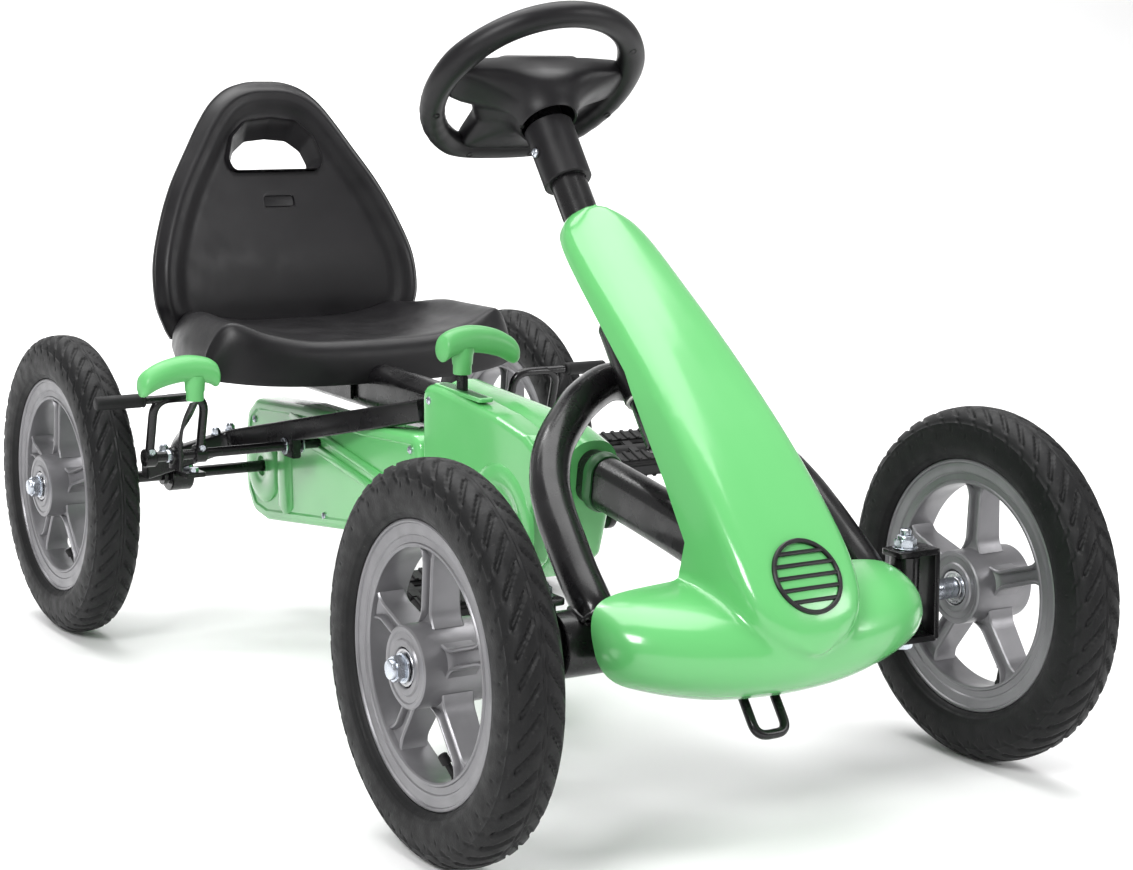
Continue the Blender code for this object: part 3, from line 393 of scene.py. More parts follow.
def block(low, high, edge=0.001, steps=2):
    """A box with rounded edges."""
    bm = bmesh.new()
    bmesh.ops.create_cube(bm, size=1.0)
    low, high = Vector(low), Vector(high)
    for vert in bm.verts:
        vert.co = (low + high) / 2 + Vector([vert.co[i] * (high - low)[i] for i in range(3)])
    bmesh.ops.bevel(bm, geom=bm.edges[:], offset=edge, segments=steps, affect="EDGES")
    bm.verts.index_update()
    form = [vert.co.copy() for vert in bm.verts], [tuple(v.index for v in face.verts) for face in bm.faces]
    bm.free()
    return form


def smooth_outline(corners, radius, steps=5):
    """A closed outline whose corners are rounded by about a radius."""
    points = [Vector((*corner, 0)) for corner in corners]
    outline = []
    for i, corner in enumerate(points):
        before, after = points[i - 1], points[(i + 1) % len(points)]
        to_before, to_after = (before - corner), (after - corner)
        angle = to_before.angle(to_after)
        cut = min(radius / tan(angle / 2), 0.45 * to_before.length, 0.45 * to_after.length)
        start, end = corner + to_before.normalized() * cut, corner + to_after.normalized() * cut
        for k in range(steps + 1):
            t = k / steps
            outline.append((start * (1 - t) ** 2 + corner * 2 * t * (1 - t) + end * t * t).to_2d())
    return outline


def hexagon(across_flats, chamfer, count=48):
    """Radius of a nut at each of count directions, held inside the chamfer's circle."""
    sides = [(a + pi / 6) % (pi / 3) - pi / 6 for a in angles_of(count)]
    return [min(across_flats / 2 / cos(a), chamfer) for a in sides]


def nut(base, height, across_flats, axis="X", dome=0.0):
    """A chamfered nut that stands up from base along the axis; dome adds a nylon collar on top."""
    full = across_flats / sqrt(3)
    rows = []
    for share, reach in ((0.0, 0.93), (0.07, 0.97), (0.16, 1.01), (0.84, 1.01), (0.93, 0.97), (1.0, 0.93)):
        rows.append(circle(axis, base + height * share, hexagon(across_flats, full * reach)))
    if dome:
        rise = copysign(dome, height)
        for share, reach in ((0.0, 0.44), (0.55, 0.43), (0.85, 0.4), (1.0, 0.34)):
            rows.append(circle(axis, base + height + rise * share, [across_flats * reach] * len(rows[0])))
    return net(rows)


def washer(start, end, inner, outer, axis="X"):
    return tube(*sorted((start, end)), inner, outer, 0.0003, axis, 32)


def threads(start, end, radius, pitch=0.00125, axis="X", count=24):
    """A threaded end as a stack of crests and roots with a chamfered tip."""
    sign = 1 if end > start else -1
    profile, s = [(start, radius)], start
    while (end - s) * sign > 2.5 * pitch:
        profile += [(s + sign * pitch * 0.25, radius), (s + sign * pitch * 0.5, radius - 0.0006),
                    (s + sign * pitch * 0.85, radius - 0.0006), (s + sign * pitch, radius)]
        s += sign * pitch
    profile += [(end - sign * 0.001, radius - 0.0003), (end, radius - 0.0014)]
    return lathe(profile, axis, count)


# Wheels

TYRE_LINE = [(0.0128, 0.1092), (0.0165, 0.109), (0.0196, 0.1118), (0.0228, 0.117), (0.0238, 0.1245),
             (0.0236, 0.132), (0.0222, 0.1395), (0.019, 0.1455), (0.014, 0.1498), (0.0075, 0.1518),
             (0.0, 0.1525)]
TREAD_PITCHES = 44
AROUND = 16 * TREAD_PITCHES


def tread_depth(turns, across, side):
    """How deep the tread is cut at a place: turns round the wheel, and metres of surface from the crown."""
    depth = 0.0
    phase = turns * TREAD_PITCHES
    for start, end, slant, width, cut in ((0.0035, 0.0215, 0.75, 0.17, 0.0019),
                                          (0.0235, 0.032, 0.35, 0.12, 0.0008)):
        if start < across < end:
            middle = slant * (across - start) / (end - start) * 1.6 + (0.5 if side > 0 else 0.0)
            if start > 0.02:
                middle += 1.2
            off = abs((phase - middle + 0.5) % 1.0 - 0.5)
            fade = min(1.0, (across - start) / 0.0015, (end - across) / 0.0015)
            depth = max(depth, cut * fade * max(0.0, min(1.0, (width - off) / 0.05)))
    groove = abs(across - 0.0018)
    if groove < 0.0012:
        wave = 0.5 + 0.5 * cos(2 * pi * (phase + (0.5 if side > 0 else 0)))
        depth = max(depth, 0.0011 * (1 - groove / 0.0012) * (0.45 + 0.55 * wave))
    return depth


def sidewall_relief(turns, radius):
    """Raised rings and rows of small dots on the sidewall."""
    height = 0.0
    for ring, width, rise in ((0.114, 0.001, 0.0006), (0.1395, 0.0008, 0.0005)):
        off = abs(radius - ring)
        if off < width:
            height = max(height, rise * (1 - (off / width) ** 2))
    for ring, count, start in ((0.13, 22, 0.0), (0.134, 22, 0.5)):
        off = abs(radius - ring)
        if off < 0.0014:
            beat = abs((turns * count + start) % 1.0 - 0.5) * 0.83 / count
            height = min(height, -0.0007) if off * off + beat * beat < 0.0000016 else height
    return height


def tyre_mesh():
    half = spline([(x, r, 0) for x, r in TYRE_LINE], 5)
    outer = [(p.x, p.y) for p in half] + [(-p.x, p.y) for p in half[-2::-1]]
    lengths, total = [0.0], 0.0
    for (x0, r0), (x1, r1) in zip(outer, outer[1:]):
        total += hypot(x1 - x0, r1 - r0)
        lengths.append(total)
    rows = []
    for i, (x, r) in enumerate(outer):
        x0, r0 = outer[max(i - 1, 0)]
        x1, r1 = outer[min(i + 1, len(outer) - 1)]
        normal = Vector((r0 - r1, x1 - x0)).normalized() * -1
        if normal.y < 0 and r > 0.14:
            normal = -normal
        if normal.x * x < 0 and r < 0.145:
            normal = -normal
        across = abs(lengths[i] - total / 2)
        side = 1 if x > 0 else -1
        row = []
        for k in range(AROUND):
            turns = k / AROUND
            push = sidewall_relief(turns, r) - tread_depth(turns, across,
                                                           side) if r < 0.15 or across > 0.0005 else 0.0
            a = 2 * pi * turns
            radius = r + normal.y * push
            row.append(Vector((x + normal.x * push, radius * cos(a), radius * sin(a))))
        rows.append(row)
    for x, r in ((-0.012, 0.1125), (-0.0165, 0.124), (-0.011, 0.143), (0.011, 0.143), (0.0165, 0.124),
                 (0.012, 0.1125)):
        rows.append(circle("X", x, [r] * AROUND))
    return Shape().add(net(rows, along=True), "tyre").mesh("tyre", 40)


def rim_mesh():
    """Stepped barrel, five grooved spokes, hub barrel with bearing seats."""
    shape = Shape("rim_grey")
    face = [(0.012, 0.087), (0.014, 0.0874), (0.0148, 0.0886), (0.0148, 0.09), (0.0138, 0.0908),
            (0.0136, 0.096), (0.0146, 0.097), (0.0146, 0.099), (0.015, 0.1), (0.0152, 0.1052),
            (0.0166, 0.106), (0.017, 0.107), (0.0166, 0.1082), (0.0156, 0.1088)]
    shape.add(lathe(mirrored(face), "X", 120, hollow=True))
    hub = [(0.0225, 0.015), (0.0295, 0.015), (0.0306, 0.0158), (0.031, 0.0172), (0.031, 0.0205),
           (0.0296, 0.0216), (0.0292, 0.0262), (0.03, 0.0274), (0.03, 0.03), (0.029, 0.0313),
           (0.027, 0.0315), (0.013, 0.0318)]
    shape.add(lathe(mirrored(hub) + [(-0.0225, 0.0092), (0.0225, 0.0092)], "X", 72, hollow=True))
    for a in angles_of(5):
        shape.add(spoke_form(), place=Matrix.Rotation(a, 4, "X"))
    return shape.mesh("rim", 30)


def spoke_form():
    """One spoke up +Z: two ribs on each face with a groove between, flared at both ends."""
    rows = []
    stations = 14
    for i in range(stations + 1):
        t = i / stations
        z = 0.0295 + (0.0885 - 0.0295) * t
        flare = 0.005 * (1 - min(t / 0.22, 1.0)) ** 2 + 0.006 * max(0.0, (t - 0.78) / 0.22) ** 2
        half = 0.0078 + flare
        deep = 0.0132 - 0.0022 * t + 0.001 * max(0.0, (t - 0.8) / 0.2)
        groove = 0.005 * min(1.0, min(t, 1 - t) / 0.12 + 0.15)
        rib, slope = 0.003, 0.0008
        section = mirrored([(half, deep - 0.0012), (half - 0.001, deep), (half - rib + 0.0006, deep),
                            (half - rib, deep - 0.0008), (half - rib - slope, deep - groove)])
        section += [(y, -x) for y, x in section[::-1]]
        rows.append([Vector((x, y, z)) for y, x in section])
    return net(rows)


def bearing_mesh():
    """Bearing with race, seal and balls' shield at each end of a distance tube."""
    end = HUB_HALF_LENGTH - 0.0005
    profile = [(end, 0.0063), (end, 0.0088), (end - 0.0006, 0.0092), (end - 0.0008, 0.0118),
               (end - 0.0001, 0.0122), (end - 0.0001, 0.014), (end - 0.0006, 0.0143), (0.0228, 0.0143),
               (0.0228, 0.0084)]
    return Shape().add(lathe(mirrored(profile), hollow=True), "bearing_steel").mesh("wheel_bearings", 30)


def make_wheels():
    tyre, rim, bearings = tyre_mesh(), rim_mesh(), bearing_mesh()
    bodies = {"fr": "wheel_fr", "fl": "wheel_fl", "rr": "wheel_rr", "rl": "rear_axle"}
    for corner, body in bodies.items():
        place = at(WHEEL_CENTRES[corner])
        piece("tread_tyre_" + corner, tyre, body, "tyre", "tyre_" + corner, place=place)
        piece("spoked_rim_" + corner, rim, body, "rim_grey", "rim_" + corner, place=place)
        piece("bearing_pair_" + corner, bearings, body, "bearing_steel", "wheel_bearings_" + corner,
              place=place)
    shape = Shape("rubber")
    stem = [(0.0, 0.0034), (0.004, 0.0034), (0.006, 0.0026), (0.016, 0.0025), (0.0165, 0.004),
            (0.0235, 0.004), (0.0245, 0.003)]
    valve = shape.add(lathe([(-s, r) for s, r in stem], "Z", 20)).mesh("valve")
    for corner, body in bodies.items():
        out = 1 if corner[1] == "l" else -1
        place = at(WHEEL_CENTRES[corner]) @ spun(162) @ at((0, 0, 0.089)) @ Matrix.Rotation(radians(-24)
                                                                                            * out, 4, "Y")
        piece("valve_" + corner, valve, body, "rubber", place=place)


# Front end

def make_front_axle():
    shape = Shape("black_paint")
    place = shifted(0, FRONT_Y, AXLE_Z)
    half = 0.1668
    wall = mirrored([(-half, 0.024), (-half, 0.0252), (-half + 0.0008, TUBE_RADIUS)])
    wall += [(half - 0.006, 0.0238), (-half + 0.006, 0.0238)]
    shape.add(lathe(wall, "X", 64, hollow=True), place=place)
    for side in (-1, 1):
        shape.add(rounded_cylinder(side * 0.15, side * 0.164, 0.0239, 0.0008, "X", 48), place=place)
        pin = shifted(side * 0.178, FRONT_Y, AXLE_Z)
        shape.add(tube(-0.0341, 0.0341, 0.0055, 0.0125, 0.0008, "Z", 40), place=pin)
        shape.add(weld_ring(0.0128, 0.0215, 0.0022), place=shifted(side * 0.1668, FRONT_Y, AXLE_Z))
    piece("front_axle_tube", shape, "frame", "black_paint", "front_axle")


def weld_ring(width, height, size, axis="X", count=48):
    """A rippled bead of weld round an oval joint."""
    path = [turn(axis, 0.0, width * cos(a), height * sin(a)) for a in angles_of(count)]
    return bead(path, size, turn(axis, 1, 0, 0))


def bead(path, size, up):
    """A closed run of weld with a ripple at every other point."""
    swell = [1.0 + 0.12 * cos(pi * k) for k in range(len(path))]
    return sweep(path, ring_outline(size, 8), up=up, loop=True, scale=swell)


# x, y, z from the front axle up to the crown
HOOP_HALF = [
    (-0.133, -0.405, 0.17), (-0.1328, -0.402, 0.179), (-0.1303, -0.376, 0.2), (-0.1262, -0.349, 0.2225),
    (-0.122, -0.328, 0.239), (-0.113, -0.304, 0.258), (-0.096, -0.28, 0.279), (-0.07, -0.258, 0.297),
    (-0.038, -0.237, 0.313),
]
HOOP_CROWN = (0.0, -0.2225, 0.322)
HOOP_RADIUS = 0.0165


def hoop_path():
    return spline(HOOP_HALF + [HOOP_CROWN] + [(-x, y, z) for x, y, z in HOOP_HALF[::-1]], 8)


def saddle_weld(base, heading, radius, size=0.0021, count=40):
    """A bead where a round bar of the given radius meets the front axle tube."""
    across = Vector((1, 0, 0))
    third = heading.cross(across)
    path = []
    for a in angles_of(count):
        point = base + radius * (cos(a) * third + sin(a) * across)
        y, z = point.y - FRONT_Y, point.z - AXLE_Z
        along = y * heading.y + z * heading.z
        square = heading.y ** 2 + heading.z ** 2
        rest = along * along - square * (y * y + z * z - (TUBE_RADIUS + 0.0004) ** 2)
        path.append(point + heading * (sqrt(max(rest, 0.0)) - along) / square)
    return bead(path, size, heading)


def make_hoop():
    shape = Shape("black_paint")
    path = hoop_path()
    shape.add(sweep(path, ring_outline(HOOP_RADIUS, 32), up=(0, 0, 1)))
    for side in (-1, 1):
        base = Vector((side * 0.1328, -0.402, 0.179))
        heading = (Vector((side * 0.1303, -0.376, 0.2)) - base).normalized()
        shape.add(saddle_weld(base, heading, HOOP_RADIUS))
    piece("steering_hoop", shape, "frame", "black_paint", "hoop")


def make_column_sleeve():
    shape = Shape("black_paint")
    low, high, outer, inner = 0.205, 0.276, 0.02, 0.0186
    shape.add(tube(low, high, inner, outer, 0.0006, "Z"))
    piece("column_sleeve_tube", shape, "frame", "black_paint", "column_sleeve", place=COLUMN_FRAME)
    bush = Shape("nylon")
    lip = [(low - 0.002, 0.0165), (low - 0.002, 0.019), (low - 0.0003, 0.019), (low - 0.0003, 0.0183),
           (high + 0.0003, 0.0183), (high + 0.0003, 0.0192), (high + 0.002, 0.019), (high + 0.002, 0.0165)]
    bush.add(lathe(lip, "Z", 48, hollow=True))
    piece("column_bush_liner", bush, "frame", "nylon", "column_bush", place=COLUMN_FRAME)


def make_column():
    shape = Shape("black_paint")
    profile = [(-0.037, 0.0048), (-0.036, 0.0058), (0.156, 0.006), (0.159, 0.009), (0.16, 0.015),
               (0.1612, 0.016), (0.499, 0.016), (0.5, 0.015)]
    shape.add(lathe(profile, "Z", 48))
    piece("column_tube", shape, "steering", "black_paint", "steering_column", place=COLUMN_FRAME)

    crank = Shape("black_paint")
    outline = smooth_outline([(-0.022, -0.012), (0.022, -0.012), (0.022, 0.04), (0.01, 0.052),
                              (-0.01, 0.052), (-0.022, 0.04)], 0.007)
    crank.add(plate(outline, -0.033, -0.029, 0.0008, "Z"))
    loop = bent([(-0.015, 0, -0.0305), (-0.015, 0, -0.0985), (0.015, 0, -0.0985), (0.015, 0, -0.0305)],
                0.011, 8)
    crank.add(sweep(loop, ring_outline(0.004, 16), up=(0, 1, 0)))
    crank.add(nut(-0.0334, -0.0052, 0.014, "Z"), "zinc")
    crank.add(washer(-0.029, -0.0276, 0.0062, 0.0105, "Z"), "zinc")
    piece("steering_crank_loop", crank, "steering", "black_paint", "steering_crank", place=COLUMN_FRAME)


COLLAR_SCREW = 0.45


def make_collar():
    """The clamp collar under the steering wheel, with its screw on the driver's right."""
    shape = Shape("black_plastic")
    profile = [(0.4185, 0.0163), (0.4185, 0.0203), (0.4196, 0.0214), (0.4755, 0.0217), (0.4765, 0.0209),
               (0.4765, 0.0163)]
    shape.add(lathe(profile, "Z", 56, hollow=True))
    shape.add(rounded_cylinder(-0.0222, -0.02, 0.0052, 0.0006, "X", 28), place=shifted(0, 0, COLLAR_SCREW))
    head = [(-0.0222, 0.0042), (-0.0234, 0.0041), (-0.0242, 0.0034), (-0.0246, 0.0022), (-0.024, 0.0018),
            (-0.0236, 0.0004)]
    shape.add(lathe(head, "X", 28), "zinc", shifted(0, 0, COLLAR_SCREW))
    piece("column_collar_clamp", shape, "steering", "black_plastic", "column_collar", place=COLUMN_FRAME)


def polar(outline, centre, count):
    """Distance from a centre to a closed outline in each of count directions."""
    reach = []
    for a in angles_of(count):
        d = Vector((cos(a), sin(a)))
        best = 0.0
        for p, q in zip(outline, outline[1:] + outline[:1]):
            p, e = Vector(p) - Vector(centre), Vector(q) - Vector(p)
            cross = d.x * e.y - d.y * e.x
            if abs(cross) > 1e-12:
                along, share = (p.x * e.y - p.y * e.x) / cross, (p.x * d.y - p.y * d.x) / cross
                if along > 0 and -1e-9 <= share <= 1 + 1e-9:
                    best = max(best, along)
        reach.append(best)
    return reach


WHEEL_HEIGHT = 0.522
WHEEL_LEAN = radians(4)
WHEEL_RIM = 0.0928
WHEEL_FLAT = 0.0855
RIM_THICKNESS = 0.0115
WHEEL_FRAME = COLUMN_FRAME @ at((0, 0, WHEEL_HEIGHT)) @ Matrix.Rotation(-WHEEL_LEAN, 4, "X")


def wheel_rim():
    """The rim's centre line and its swelling, with finger bumps on the lower sides."""
    path, swell = [], []
    for a in angles_of(144):
        y = WHEEL_RIM * cos(a)
        ease = WHEEL_FLAT - 0.006
        if y > ease:
            y = ease + 0.006 * tanh((y - ease) / 0.01)
        path.append((WHEEL_RIM * sin(a), y, 0.0))
        grip = 1.0 if 0.15 < cos(a) < 0.72 else 0.0
        thumb = exp(-((degrees(a) - 180) / 14 - 5.0) ** 2) + exp(-((180 - degrees(a)) / 14 - 5.0) ** 2)
        swell.append(1.0 + 0.1 * thumb - grip * 0.035 * (0.5 + 0.5 * cos(a * 44)))
    return path, swell


def wheel_outline():
    """Outline of the spider: two broad arms up to the rim and one wide spoke down to its flat."""
    half = [(WHEEL_RIM - 0.006, 0.01), (0.054, 0.019), (0.042, 0.04), (0.045, WHEEL_FLAT - 0.003)]
    corners = half[::-1] + [(WHEEL_RIM - 0.006, -0.027), (0.046, -0.03)]
    return smooth_outline([(-x, y) for x, y in corners] + corners[::-1], 0.014, 8)


def make_steering_wheel():
    """D-shaped rim, arms that sweep down into a flared boss, recessed screws and a pad."""
    shape = Shape("black_plastic")
    path, swell = wheel_rim()
    shape.add(sweep(path, ring_outline(RIM_THICKNESS, 28), loop=True, scale=swell))
    centre = (0.0, 0.01)
    reach = polar([(p.x, p.y) for p in wheel_outline()], centre, 144)
    levels = [(-0.044, 0.0262, 0.0), (-0.042, 0.0274, 0.0), (-0.038, 0.0282, 0.0), (-0.03, 0.031, 0.06),
              (-0.0235, 0.034, 0.2), (-0.018, 0.036, 0.42), (-0.013, 0.0372, 0.68), (-0.009, 0.0378, 0.88),
              (-0.0055, 0.038, 0.97), (0.001, 0.038, 1.0), (0.0045, 0.0375, 0.985), (0.006, 0.0365, 0.955)]
    rows = []
    for rise, radius, spread in levels:
        row = []
        for a, far in zip(angles_of(len(reach)), reach):
            r = min(radius, far) * (1 - spread) + far * spread
            row.append(Vector((r * cos(a), centre[1] * spread + r * sin(a), rise)))
        rows.append(row)
    bore = ((-0.02, 0.017), (-0.038, 0.0235), (-0.043, 0.0245))
    hollow = [circle("Z", rise, [radius] * len(reach)) for rise, radius in bore]
    shape.add(net(hollow + rows))
    for a in (0.35, 1.25, 2.25, 4.03, 5.03, 5.93):
        spot = Vector((WHEEL_RIM * sin(a), min(WHEEL_RIM * cos(a), WHEEL_FLAT - 0.002),
                       -RIM_THICKNESS + 0.0004))
        ring = [(0.0, 0.0034), (-0.0007, 0.0032), (-0.0007, 0.0022), (0.0016, 0.0019)]
        shape.add(lathe(ring, "Z", 16), "tread_plastic", at(spot))
    for side in (-1, 1):
        recess = [(-0.044, 0.0026), (-0.0444, 0.0022), (-0.0425, 0.002)]
        shape.add(lathe(recess, "Z", 14), "tread_plastic", shifted(side * 0.0255, 0.004, 0))
    piece("steering_wheel_body", shape, "steering", "black_plastic", "steering_wheel", place=WHEEL_FRAME,
          crease=40)

    pad = Shape("black_plastic")
    corners = [(-0.036, 0.046), (-0.052, 0.004), (-0.042, -0.026), (0.042, -0.026), (0.052, 0.004),
               (0.036, 0.046)]
    outline = smooth_outline(corners, 0.013, 8)
    reach = polar([(p.x, p.y) for p in outline], centre, 112)
    rows = []
    for rise, share in ((0.0063, 0.985), (0.0072, 1.0), (0.01, 1.0), (0.0125, 0.97), (0.0142, 0.9),
                        (0.015, 0.78), (0.015, 0.7), (0.0143, 0.68), (0.0143, 0.66), (0.0152, 0.64),
                        (0.0158, 0.45), (0.016, 0.2)):
        row = circle("Z", rise, [r * share for r in reach])
        rows.append([p + Vector((0, centre[1], 0)) for p in row])
    pad.add(net(rows))
    piece("steering_wheel_pad", pad, "steering", "black_plastic", "steering_pad", place=WHEEL_FRAME,
          crease=40)


def make_knuckles():
    for tag, pivot in KINGPINS.items():
        side = SIGN[tag]
        place = at(pivot) @ Matrix.Diagonal((side, 1, 1, 1))
        yoke = Shape("black_paint")
        arm = 0.0395
        outline = smooth_outline([(-0.016, -0.0135), (-0.016, 0.0135), (0.028, 0.015), (0.028, -0.015)],
                                 0.006)
        for low in (-arm, arm - 0.005):
            yoke.add(plate(outline, low, low + 0.005, 0.0007, "Z"), place=place)
        web = smooth_outline([(-0.015, -arm + 0.001), (0.015, -arm + 0.001), (0.0125, arm - 0.001),
                              (-0.0125, arm - 0.001)], 0.003)
        yoke.add(plate(web, 0.0225, 0.0278, 0.0008, "X"), place=place)
        lever = smooth_outline([(-0.0095, 0.0), (0.0095, 0.0), (0.0085, 0.062), (-0.0085, 0.062)], 0.008)
        yoke.add(plate(lever, -arm + 0.0002, -arm + 0.005, 0.0007, "Z"), place=place)
        yoke.add(weld_ring(0.0098, 0.0098, 0.0018, "X"), place=place @ shifted(0.0284))
        piece("yoke_" + tag, yoke, "knuckle_" + tag, "black_paint", "knuckle_" + tag)

        pin = Shape("zinc")
        pin.add(rounded_cylinder(-0.044, 0.044, 0.005, 0.0005, "Z", 28), place=place)
        pin.add(threads(0.044, 0.0565, 0.0048, 0.0012, "Z"), place=place)
        pin.add(nut(-arm - 0.0002, -0.0056, 0.016, "Z"), place=place)
        pin.add(washer(arm + 0.0002, arm + 0.0016, 0.0052, 0.0105, "Z"), place=place)
        pin.add(nut(arm + 0.0017, 0.0068, 0.0165, "Z", dome=0.0034), place=place)
        piece("kingpin_bolt_" + tag, pin, "knuckle_" + tag, "zinc", "kingpin_" + tag)

        stub = Shape("zinc")
        inner = WHEEL_X - HUB_HALF_LENGTH - abs(pivot.x)
        outer = WHEEL_X + HUB_HALF_LENGTH - abs(pivot.x)
        stub.add(lathe([(0.0279, 0.0082), (0.0284, 0.009), (inner - 0.0012, 0.009),
                        (inner - 0.0004, 0.0082), (inner - 0.0004, 0.006), (outer + 0.012, 0.006)], "X",
                       40), place=place)
        stub.add(threads(outer + 0.009, AXLE_END - abs(pivot.x), 0.0058), place=place)
        stub.add(washer(outer + 0.0004, outer + 0.0018, 0.0062, 0.0115), place=place)
        stub.add(nut(outer + 0.0019, 0.0072, 0.0178, "X", dome=0.0034), place=place)
        piece("stub_axle_shaft_" + tag, stub, "knuckle_" + tag, "zinc", "stub_axle_" + tag)


def make_tie_rods():
    for tag, joint in (("r", JOINT["tie_rod_r_turn"]), ("l", JOINT["tie_rod_l_turn"])):
        outer = Vector(joint["pos_m"])
        side = SIGN[tag]
        inner = outer + Vector((side * (0.012 - 0.178), -0.029, -0.0148))
        shape = Shape("zinc")
        heading = (inner - outer).normalized()
        shape.add(sweep([outer + heading * 0.006, outer + heading * 0.02, inner - heading * 0.02,
                         inner - heading * 0.006], ring_outline(0.004, 20)), "black_paint")
        for centre, reach in ((outer, 1), (inner, -1)):
            start, end = centre + heading * 0.005 * reach, centre + heading * 0.026 * reach
            shape.add(sweep([start, start.lerp(end, 0.15), start.lerp(end, 0.85), end],
                            ring_outline(0.0052, 6), scale=[0.8, 1.0, 1.0, 0.85]))
            shape.add(tube(-0.0046, 0.0046, 0.0036, 0.0076, 0.0008, "Z", 32), place=at(centre))
            ball = [(0.0052 * sin(radians(d)), 0.0052 * cos(radians(d))) for d in range(-75, 76, 15)]
            shape.add(lathe(ball, "Z", 28), "bearing_steel", at(centre))
        piece("tie_rod_link_" + tag, shape, "tie_rod_" + tag, "black_paint", "tie_rod_" + tag)
        bolt = Shape("zinc")
        bolt.add(nut(outer.z + 0.0068, 0.0046, 0.01, "Z"), place=at((outer.x, outer.y, 0)))
        bolt.add(nut(AXLE_Z - 0.0398, -0.005, 0.01, "Z"), place=at((outer.x, outer.y, 0)))
        piece("tie_rod_bolt_" + tag, bolt, "knuckle_" + tag, "zinc")


# Fairing

# Front centre line (y, z), half width, depth of the side walls, dip of the way inwards in degrees
MASK_LINE = [
    (-0.1843, 0.468, 0.01, 0.01, 54), (-0.187, 0.466, 0.023, 0.011, 54),
    (-0.1935, 0.4612, 0.032, 0.013, 54), (-0.2045, 0.4532, 0.0385, 0.015, 54),
    (-0.2225, 0.44, 0.0425, 0.017, 54), (-0.25, 0.42, 0.0448, 0.019, 54),
    (-0.33, 0.362, 0.0488, 0.021, 52), (-0.41, 0.295, 0.0535, 0.036, 48), (-0.47, 0.235, 0.056, 0.05, 34),
    (-0.496, 0.202, 0.0545, 0.055, 24), (-0.5075, 0.183, 0.049, 0.058, 18),
    (-0.512, 0.169, 0.04, 0.058, 12), (-0.5125, 0.158, 0.028, 0.056, 6), (-0.511, 0.15, 0.012, 0.05, 0),
]
# x, front y, half height, middle z
NOSE_LINE = [
    (0.0, -0.5075, 0.0495, 0.149), (0.05, -0.504, 0.048, 0.15), (0.09, -0.4955, 0.0435, 0.153),
    (0.12, -0.4835, 0.0385, 0.156), (0.138, -0.47, 0.034, 0.157), (0.148, -0.457, 0.0265, 0.1575),
    (0.153, -0.444, 0.015, 0.1575),
]
FLARE = 0.0075


def fairing_solid():
    """Mask and nose bar as one closed volume with their joint rounded over."""
    rows = []
    for y, z, width, depth, dip in smooth_stations(MASK_LINE, 5):
        inward = Vector((0, cos(radians(dip)), -sin(radians(dip))))
        crown, rim = 0.004, min(0.011, 0.6 * width)
        back = depth + 0.02
        flare = FLARE * min(1.0, max(0.0, (0.43 - z) / 0.08))
        section = [(0.0, -crown), (0.45 * width, -0.86 * crown), (width - rim, -0.35 * crown)]
        for k in range(7):
            a = pi / 2 * k / 6
            section.append((width - rim + rim * sin(a), rim - rim * cos(a)))
        section += [(width + 0.5 * flare, back * 0.5), (width + flare, back)]
        ring = section + [(-x, d) for x, d in section[:0:-1]]
        rows.append([Vector((x, y, z)) + inward * d for x, d in ring])
    mask = volume("mask_volume", rows)

    stations = [(-x, y, h, z) for x, y, h, z in NOSE_LINE[:0:-1]] + NOSE_LINE
    rows = []
    for x, front, half, middle in smooth_stations(stations, 4):
        back = FRONT_Y + 0.01
        ring = []
        for k in range(25):
            a = pi * (k / 24 - 0.5)
            reach = cos(a) ** 0.72 if cos(a) > 1e-6 else 0.0
            ring.append(Vector((x, back - (back - front) * reach, middle + half * sin(a))))
        rows.append(ring)
    nose = volume("nose_volume", rows)

    modify(mask, "BOOLEAN", operation="UNION", object=nose)
    modify(mask, "REMESH", mode="VOXEL", voxel_size=0.0028, use_smooth_shade=True)
    modify(mask, "SMOOTH", factor=0.6, iterations=12)
    baked(mask)
    bpy.data.objects.remove(nose, do_unlink=True)
    return mask


def smooth_stations(stations, steps):
    """Catmull-Rom interpolation of tuples of any length."""
    ends = [tuple(2 * a - b for a, b in zip(stations[0], stations[1]))] + list(stations)
    ends.append(tuple(2 * a - b for a, b in zip(stations[-1], stations[-2])))
    result = []
    for a, b, c, d in zip(ends, ends[1:], ends[2:], ends[3:]):
        for k in range(steps):
            t = k / steps
            result.append(tuple(catmull(*four, t) for four in zip(a, b, c, d)))
    result.append(stations[-1])
    return result


def baked(obj):
    """Apply an object's modifiers to its mesh."""
    bpy.context.view_layer.update()
    graph = bpy.context.evaluated_depsgraph_get()
    mesh = bpy.data.meshes.new_from_object(obj.evaluated_get(graph))
    obj.modifiers.clear()
    obj.data = mesh


def smoothed(made, crease):
    made.data.shade_smooth()
    made.data.set_sharp_from_angle(angle=radians(crease))


def volume(name, rows, finish="green_shell"):
    """A linked closed body over rows of points."""
    return linked(name, Shape().add(net(rows), finish).mesh(name))


